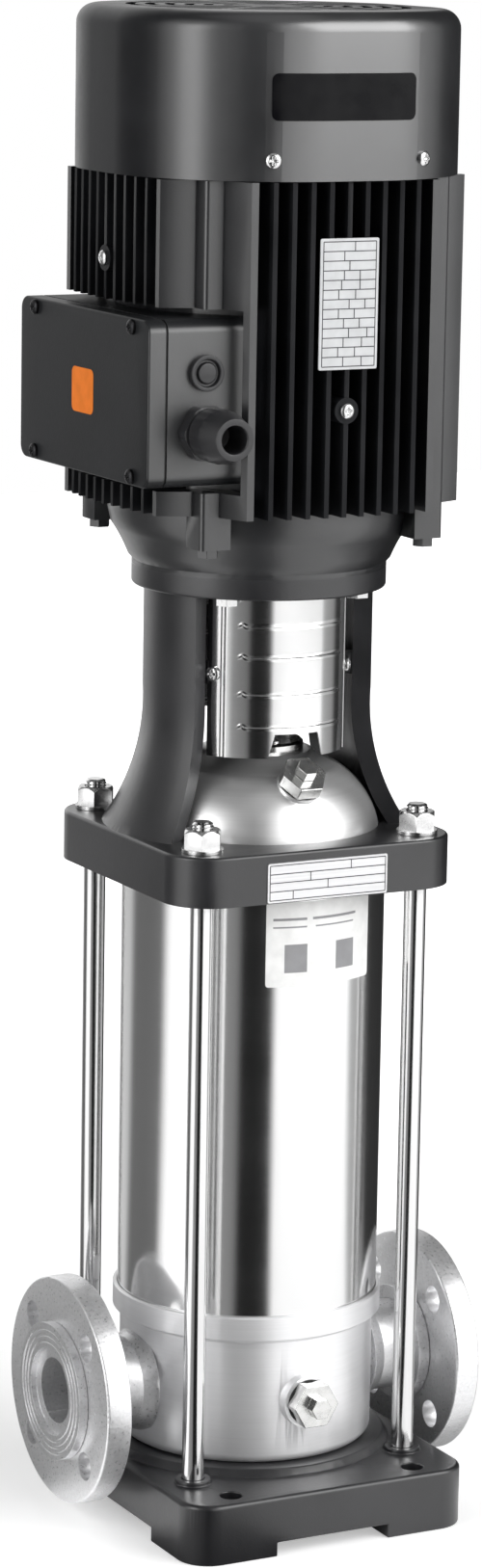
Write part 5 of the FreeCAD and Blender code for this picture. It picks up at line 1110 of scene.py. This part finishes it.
@dataclass
class SmallScrews:
    """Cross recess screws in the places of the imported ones, in mm."""

    head: ScrewHead = field(default_factory=ScrewHead)
    shank: float = 2.4
    length: float = 9.0
    overlap: float = 0.2
    alike: float = 0.9999
    rim_share: float = 0.97

    def spot(self, points: np.ndarray, corners: np.ndarray) -> tuple[Point, Point]:
        """Seat and outward direction of one screw.

        The direction is the normal of the largest flat face. Its sign is that of the mean height of the rim's
        points above the middle, as the rim lies at the head's end.

        Args:
            points: Corner points of the screw in mm.
            corners: Point numbers of its triangles.

        Returns:
            Seat of the head and the direction that it faces.
        """
        a, b, c = points[corners[:, 0]], points[corners[:, 1]], points[corners[:, 2]]
        cross = np.cross(b - a, c - a)
        area = np.linalg.norm(cross, axis=1)
        normal = cross / np.maximum(area, 1e-9)[:, None]
        direction = normal[np.argmax((normal @ normal.T > self.alike) @ area)]
        along = points @ direction
        middle = (along.max() + along.min()) / 2
        axis = points - along[:, None] * direction
        centre = (axis.max(axis=0) + axis.min(axis=0)) / 2
        reach = np.linalg.norm(axis - centre, axis=1)
        rim = along[reach > reach.max() * self.rim_share].mean()
        sign = 1.0 if rim > middle else -1.0
        end = along.max() if sign > 0 else along.min()
        seat = centre + direction * (end - sign * self.head.height)
        return tuple(seat), tuple(direction * sign)

    def spots(self) -> list[tuple[Point, Point]]:
        """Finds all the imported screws.

        Each point takes the lowest number among its triangles' points until nothing changes, so that the
        points of one screw share a number.

        Returns:
            Seat and direction of each screw.
        """
        work = bmesh.new()
        work.from_mesh(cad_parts["pan_head_screws"].data)
        bmesh.ops.remove_doubles(work, verts=work.verts, dist=1e-6)
        bmesh.ops.triangulate(work, faces=work.faces)
        work.verts.index_update()
        points = np.array([v.co for v in work.verts]) / MM
        corners = np.array([[v.index for v in f.verts] for f in work.faces])
        work.free()
        group = np.arange(len(points))
        before = np.zeros_like(group)
        while not np.array_equal(group, before):
            before = group.copy()
            lowest = group[corners].min(axis=1)
            for k in range(3):
                np.minimum.at(group, corners[:, k], lowest)
        found = []
        for number in np.unique(group):
            members = np.flatnonzero(group == number)
            place = np.full(len(points), -1)
            place[members] = np.arange(len(members))
            found.append(self.spot(points[members], place[corners[group[corners[:, 0]] == number]]))
        return found

    def screws(self, name: str, spots: list[tuple[Point, Point]]) -> bpy.types.Mesh:
        """Mesh of several like screws.

        Args:
            name: Name of the mesh.
            spots: Seat of each head and the direction that it faces.

        Returns:
            One mesh with all the screws.
        """
        shank = lathe([(self.shank, -self.overlap), (self.shank, self.length)], 24)
        grids = []
        for seat, out in spots:
            grids.append(aimed(self.head.grid(), seat, out))
            grids.append(aimed(shank, seat, tuple(-c for c in out)))
        return surface(name, grids, angle=40.0)

    def build(self) -> None:
        """Makes the bright screws as one piece and those sunk in the lid's side as another."""
        spots = self.spots()
        LOG.info("%d small screws", len(spots))
        lid_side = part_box("terminal_lid")[1].x / MM
        bright = [spot for spot in spots if spot[0][0] > lid_side]
        sunk = [spot for spot in spots if spot[0][0] <= lid_side]
        for name, some, finish in (("cross_recess_screws", bright, "zinc_steel"),
                                   ("lid_screws", sunk, "sunk_screw")):
            added(name, self.screws(name, some), finish, "pump", ("pan_head_screws",))


@dataclass
class Plates:
    """Bare plates, the badge, the sleeve label and the lid patch, in mm.

    A stop is the place of an upright line in its row, as a share of the width. The stops run through the rows
    from the lowest one and start there again. A bar of the label is the place of its middle to the right and
    up, its width and its height.
    """

    count: int = 3
    corner: float = 1.2
    line: float = 0.6
    ink: float = 0.06
    ink_step: float = 0.001
    ink_corner: float = 0.02
    ink_crown: float = 0.01
    motor_rows: int = 13
    motor_border: float = 2.0
    motor_stops: tuple[float, ...] = (0.4, 0.62, 0.4, 0.5, 0.7, 0.3, 0.5, 0.62, 0.35, 0.7, 0.5, 0.4, 0.6,
                                      0.75, 0.3, 0.75, 0.85, 0.4, 0.6, 0.8, 0.3, 0.7, 0.4)
    pump_rows: int = 4
    pump_border: float = 1.6
    pump_stops: tuple[float, ...] = (0.2, 0.5, 0.35, 0.7)
    film: float = 0.02
    label_half_angle: float = 27.0
    label_angle: float = 5.0
    label_height: float = 54.0
    label_gap: float = 4.0
    label_corner: float = 2.0
    label_thick: float = 0.12
    label_bars: tuple[tuple[float, float, float, float], ...] = (
        (-24.0, 16.0, 22.0, 1.6), (-24.0, 11.0, 22.0, 1.0), (8.0, 16.0, 34.0, 1.6), (8.0, 11.0, 30.0, 1.0),
        (-20.0, -9.0, 15.0, 18.0), (16.0, -9.0, 15.0, 18.0))
    bar_corner: float = 0.2
    bar_thick: float = 0.05
    cover_flat: float = 16.5
    badge_place: float = -4.8
    badge_width: float = 96.5
    badge_corner: float = 4.0
    badge_thick: float = 0.8
    patch_side: float = 30.0
    patch_height: float = 0.92
    patch_corner: float = 4.0
    patch_thick: float = 0.10

    def boxes(self) -> list[tuple[np.ndarray, np.ndarray]]:
        """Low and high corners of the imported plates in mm, from the lowest plate to the highest."""
        points = node_points("plates")
        points = points[np.argsort(points[:, 2])]
        return [(group.min(axis=0), group.max(axis=0)) for group in np.array_split(points, self.count)]

    def slab(self, name: str, box: tuple[np.ndarray, np.ndarray], finish: str) -> None:
        """Plate with rounded corners in the place of a packed one.

        Args:
            name: Name of the piece.
            box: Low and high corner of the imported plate.
            finish: Name of its finish.
        """
        low, high = box
        middle = ((low[0] + high[0]) / 2, high[1], (low[2] + high[2]) / 2)
        grid = front_slab(middle, high[0] - low[0], high[2] - low[2], self.corner, high[1] - low[1])
        added(name, surface(name, [grid]), finish, "pump", ("plates",))

    def ruled(self, name: str, box: tuple[np.ndarray, np.ndarray], rows: int, stops: tuple[float, ...],
              border: float) -> None:
        """Border, rows and column lines on a plate, as thin raised ink.

        Args:
            name: Name of the piece.
            box: Low and high corner of the plate.
            rows: Number of rows.
            stops: Places of the upright lines, row by row.
            border: Distance of the border from the plate's edge.
        """
        low, top = box
        x0, x1 = low[0] + border, top[0] - border
        z0, z1 = low[2] + border, top[2] - border
        bars = [((x0 + x1) / 2, z, x1 - x0, self.line) for z in np.linspace(z0, z1, rows + 1)]
        bars += [(x, (z0 + z1) / 2, self.line, z1 - z0) for x in (x0, x1)]
        step = (z1 - z0) / rows
        bars += [(x0 + stop * (x1 - x0), z0 + (k % rows + 0.5) * step, self.line, step)
                 for k, stop in enumerate(stops)]
        grids = [front_slab((x, low[1], z), wide, high, self.ink_corner, self.ink + self.ink_step * k,
                            self.ink_crown) for k, (x, z, wide, high) in enumerate(bars)]
        added(name, surface(name, grids), "label_ink", "pump")

    def around_sleeve(self, along: np.ndarray, out: float) -> tuple[np.ndarray, np.ndarray]:
        """X and Y along the sleeve's front: an arc about the sleeve's axis.

        Args:
            along: Length along the arc.
            out: Distance off the sleeve.

        Returns:
            X and Y in mm.
        """
        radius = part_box("outer_sleeve")[1].x / MM
        turn = math.radians(self.label_angle - 90.0) + along / radius
        return (radius + out) * np.cos(turn), (radius + out) * np.sin(turn)

    def around_cover(self, along: np.ndarray, out: float) -> tuple[np.ndarray, np.ndarray]:
        """X and Y along the fan cover's front: a flat of half width f, then an arc on each side.

        The arcs' centres are at (f, -f) and (-f, -f).

        Args:
            along: Length along the front.
            out: Distance off the cover.

        Returns:
            X and Y in mm.
        """
        half = -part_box("fan_cover")[0].y / MM
        radius = half - self.cover_flat
        turn = np.maximum(np.abs(along) - self.cover_flat, 0.0) / radius
        x = np.sign(along) * (np.minimum(np.abs(along), self.cover_flat) + (radius + out) * np.sin(turn))
        return x, -(half - radius) - (radius + out) * np.cos(turn)

    def bent(self, name: str, finish: str, where: Callable, middle: tuple[float, float],
             size: tuple[float, float], corner: float, off: float, thick: float,
             stands_for: tuple[str, ...] = ()) -> None:
        """Rounded slab bent over a wall.

        At a distance u from its middle the half height is h / 2 - r + sqrt(r^2 - max(|u| - w / 2 + r, 0)^2).

        Args:
            name: Name of the piece.
            finish: Its finish.
            where: Gives X and Y for a length along the wall and a distance off it.
            middle: Length along the wall and height of its middle.
            size: Width w and height h.
            corner: Corner radius r.
            off: Distance of its back from the wall.
            thick: Thickness.
            stands_for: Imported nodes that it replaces.
        """
        wide, high = size
        u = wide / 2 * np.sin(np.linspace(-math.pi / 2, math.pi / 2, 49))
        over = np.maximum(np.abs(u) - wide / 2 + corner, 0.0)
        half = high / 2 - corner + np.sqrt(np.maximum(corner ** 2 - over ** 2, 0.0))
        crown = min(0.3 * thick, 0.2)
        ring = ((-1, 0.0, 0.0), (-1, 0.0, thick - crown), (-1, crown, thick), (1, crown, thick),
                (1, 0.0, thick - crown), (1, 0.0, 0.0))
        rows = []
        for side, inset, depth in ring:
            x, y = where(u + middle[0], off + depth)
            rows.append(np.stack([x, y, middle[1] + side * (half - inset)], axis=-1))
        added(name, surface(name, [np.stack(rows, axis=1) * MM]), finish, "pump", stands_for)

    def label(self) -> None:
        """White label on the sleeve with plain grey bars."""
        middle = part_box("motor_stool")[0].z / MM - self.label_gap - self.label_height / 2
        width = 2 * math.radians(self.label_half_angle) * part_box("outer_sleeve")[1].x / MM
        self.bent("sleeve_label", "label_paper", self.around_sleeve, (0.0, middle),
                  (width, self.label_height), self.label_corner, self.film, self.label_thick)
        for k, (place, rise, wide, high) in enumerate(self.label_bars):
            self.bent(f"label_bar_{k}", "label_grey", self.around_sleeve, (place, middle + rise),
                      (wide, high), self.bar_corner, self.label_thick + 0.01, self.bar_thick)

    def badge(self, box: tuple[np.ndarray, np.ndarray]) -> None:
        """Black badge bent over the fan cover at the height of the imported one.

        Args:
            box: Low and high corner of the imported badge.
        """
        low, high = box
        self.bent("badge_plate", "badge_black", self.around_cover, (self.badge_place, (low[2] + high[2]) / 2),
                  (self.badge_width, high[2] - low[2]), self.badge_corner, self.film, self.badge_thick,
                  ("plates",))

    def patch(self) -> None:
        """Plain orange patch in the middle of the terminal box's lid."""
        low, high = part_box("terminal_lid")
        middle = (low + high) / 2 / MM
        line = rounded_outline(self.patch_side, self.patch_side * self.patch_height, self.patch_corner)
        y, z = line[:, 0] + middle.y, line[:, 1] + middle.z
        rows = [np.stack([np.full(len(line), low.x / MM - depth), y, z], axis=-1)
                for depth in (-self.film, self.patch_thick)]
        added("lid_patch", surface("lid_patch", [np.stack(rows) * MM]), "patch_foil", "pump")

    def build(self) -> None:
        """Makes the plates with their ruled lines, the label and the patch."""
        pump, motor, badge = self.boxes()
        self.slab("pump_plate", pump, "plate_metal")
        self.slab("motor_plate", motor, "plate_white")
        self.badge(badge)
        self.ruled("pump_plate_lines", pump, self.pump_rows, self.pump_stops, self.pump_border)
        self.ruled("motor_plate_lines", motor, self.motor_rows, self.motor_stops, self.motor_border)
        self.label()
        self.patch()


@dataclass(frozen=True)
class Lamp:
    """Soft rectangular lamp that points at a target, in metres and watts."""

    name: str
    place: Point
    target: Point
    size: tuple[float, float]
    watts: float

    def build(self) -> None:
        """Puts the lamp into the scene."""
        data = bpy.data.lights.new(self.name, "AREA")
        data.shape = "RECTANGLE"
        data.size, data.size_y = self.size
        data.energy = self.watts
        lamp = bpy.data.objects.new(self.name, data)
        bpy.context.scene.collection.objects.link(lamp)
        lamp.location = self.place
        lamp.rotation_euler = (Vector(self.target) - Vector(self.place)).to_track_quat("-Z", "Y").to_euler()


@dataclass
class Studio:
    """Camera, floor, lamps and the light of the room. Lengths in mm, angles in degrees.

    A band is a compass bearing, counted from the front and growing towards the outlet, and the room's level
    there. The glow is the floor's own light near the pump and further off, at two distances in metres.
    """

    azimuth: float = -27.85
    distance: float = 2976.0
    height: float = 1046.0
    yaw: float = 0.17
    pitch: float = 11.0
    roll: float = 0.97
    focal_pixels: float = 4964.0
    image_height: float = 1627.0
    sensor: float = 36.0
    floor_size: float = 9.0
    floor_grey: float = 0.9
    glow: tuple[float, float] = (0.42, 1.0)
    glow_reach: tuple[float, float] = (0.35, 1.3)
    ceiling: float = 0.12
    ceiling_reach: tuple[float, float] = (0.5, 0.85)
    panel: float = 1.9
    bands: tuple[tuple[float, float], ...] = (
        (-180.0, 0.66), (-160.0, 0.6), (-150.0, 0.18), (-146.0, 0.15), (-112.0, 0.13), (-103.0, 1.0),
        (-71.0, 1.0), (-60.0, 0.25), (-40.0, 0.165), (-35.0, 0.002), (-11.0, 0.002), (-6.0, 0.84),
        (62.0, 0.84), (68.0, 0.32), (86.0, 0.25), (94.0, 0.025), (145.0, 0.017), (156.0, 0.58), (180.0, 0.66))
    lamps: tuple[Lamp, ...] = (
        Lamp("key", (1.6, -2.2, 2.2), (0.0, 0.0, 0.5), (2.4, 2.4), 60.0),
        Lamp("side", (-2.4, -0.6, 1.2), (0.0, 0.0, 0.5), (0.8, 1.8), 12.0),
        Lamp("top", (0.0, -0.3, 2.6), (0.0, 0.0, 0.6), (1.6, 1.6), 2.0))

    def camera(self) -> None:
        """Camera at the photograph's place: back along the azimuth, aimed by yaw and pitch, then rolled."""
        turn = math.radians(self.azimuth)
        place = Vector((math.sin(turn) * self.distance, -math.cos(turn) * self.distance, self.height)) * MM
        heading = turn + math.radians(self.yaw)
        dip = math.radians(self.pitch)
        roll = math.radians(self.roll)
        ahead = Vector((-math.sin(heading) * math.cos(dip), math.cos(heading) * math.cos(dip),
                        -math.sin(dip)))
        level = Vector((math.cos(heading), math.sin(heading), 0.0))
        upright = level.cross(ahead)
        right = math.cos(roll) * level + math.sin(roll) * upright
        up = -math.sin(roll) * level + math.cos(roll) * upright
        data = bpy.data.cameras.new("camera")
        data.sensor_width = self.sensor
        data.lens = self.focal_pixels / self.image_height * self.sensor
        data.clip_end = 50.0
        camera = bpy.data.objects.new("camera", data)
        bpy.context.scene.collection.objects.link(camera)
        camera.matrix_world = Matrix.Translation(place) @ Matrix((right, up, -ahead)).transposed().to_4x4()
        bpy.context.scene.camera = camera

    def level(self, graph: Graph, x: Socket, y: Socket) -> Socket:
        """Brightness of the room by compass bearing: atan2(x, -y) read off the bands.

        Args:
            graph: Tree of the world or the floor.
            x: X of the direction, or of the place on the floor.
            y: Y of it.

        Returns:
            The brightness.
        """
        bearing = graph.math("ARCTAN2", x, graph.times(y, -1.0))
        ramp = graph.add("ShaderNodeValToRGB", {0: graph.spread(bearing, 0.0, 1.0, -math.pi, math.pi)})
        stops = ramp.color_ramp.elements
        while len(stops) > 1:
            stops.remove(stops[-1])
        for k, (angle, level) in enumerate(self.bands):
            where = (angle + 180.0) / 360.0
            stop = stops[0] if k == 0 else stops.new(where)
            stop.position = where
            stop.color = (level, level, level, 1.0)
        return graph.times(ramp.outputs[0], self.panel)

    def floor(self) -> None:
        """Pale floor: white in the camera but for the pump's shadow; for glossy rays its colour follows the
        room's bands, a painted reflection in the steel.
        """
        half = self.floor_size / 2
        mesh = bpy.data.meshes.new("floor")
        corners = [(-half, -half, 0), (half, -half, 0), (half, half, 0), (-half, half, 0)]
        mesh.from_pydata(corners, [], [(0, 1, 2, 3)])
        material, graph, base = shader("floor")
        path = graph.add("ShaderNodeLightPath")
        glossy = path.outputs["Is Glossy Ray"]
        x, y, _ = graph.axes(graph.place())
        # Painted reflection: glossy rays see the floor darkened to the room's bands, which paints dark
        # stripes into the steel
        painted_band_level = graph.plus(graph.times(glossy, self.level(graph, x, y)), graph.math("SUBTRACT", 1.0, glossy))
        grey = graph.times(painted_band_level, self.floor_grey)
        glow = graph.spread(graph.length(x, y), *self.glow, *self.glow_reach)
        graph.put(base, {
            "Base Color": graph.add("ShaderNodeCombineColor", {0: grey, 1: grey, 2: grey}).outputs[0],
            "Roughness": 0.9,
            "Specular IOR Level": 0.1,
            "Emission Color": (1.0, 1.0, 1.0, 1.0),
            "Emission Strength": graph.times(path.outputs["Is Camera Ray"], glow)})
        mesh.materials.append(material)
        floor = bpy.data.objects.new("floor", mesh)
        bpy.context.scene.collection.objects.link(floor)

    def room(self) -> None:
        """Light of the room: soft panels and dark gaps by compass direction, white for the camera."""
        world = bpy.data.worlds.new("room")
        bpy.context.scene.world = world
        world.use_nodes = True
        graph = Graph(world.node_tree)
        x, y, z = graph.axes(graph.add("ShaderNodeTexCoord").outputs["Generated"])
        above = graph.spread(z, 0.0, 1.0, *self.ceiling_reach)
        walls = graph.times(self.level(graph, x, y), graph.math("SUBTRACT", 1.0, above))
        level = graph.plus(walls, graph.times(above, self.ceiling))
        seen = graph.add("ShaderNodeLightPath").outputs["Is Camera Ray"]
        strength = graph.plus(graph.times(level, graph.math("SUBTRACT", 1.0, seen)), seen)
        background = graph.add("ShaderNodeBackground", {"Color": (1.0, 1.0, 1.0, 1.0), "Strength": strength})
        graph.add("ShaderNodeOutputWorld", {"Surface": background.outputs[0]})

    def build(self) -> None:
        """Makes the whole studio."""
        self.camera()
        self.floor()
        self.room()
        for lamp in self.lamps:
            lamp.build()
        bpy.context.scene.view_settings.view_transform = "Standard"


def leftover() -> None:
    """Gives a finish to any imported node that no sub-assembly dressed."""
    plain = {"terminal_block": "block_plastic", "terminal_studs": "winding_copper"}
    for name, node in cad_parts.items():
        used = [m.name for m in node.data.materials if m]
        if node.hide_render or (used and used[0] in FINISHES):
            continue
        SubAssembly().keep(name, plain.get(name, "zinc_steel"))


def main() -> None:
    """Builds the studio and every sub-assembly in order."""
    logging.basicConfig(level=logging.INFO, format="%(name)s: %(message)s")
    Studio().build()
    for part in (BaseAndPorts(), ThreadedRods(), PumpStack(), Stool(), Guard(), Motor(), TerminalBox(),
                 SmallScrews(), Plates()):
        LOG.info("building %s", type(part).__name__)
        part.build()
    leftover()


if __name__ == "__main__":
    main()
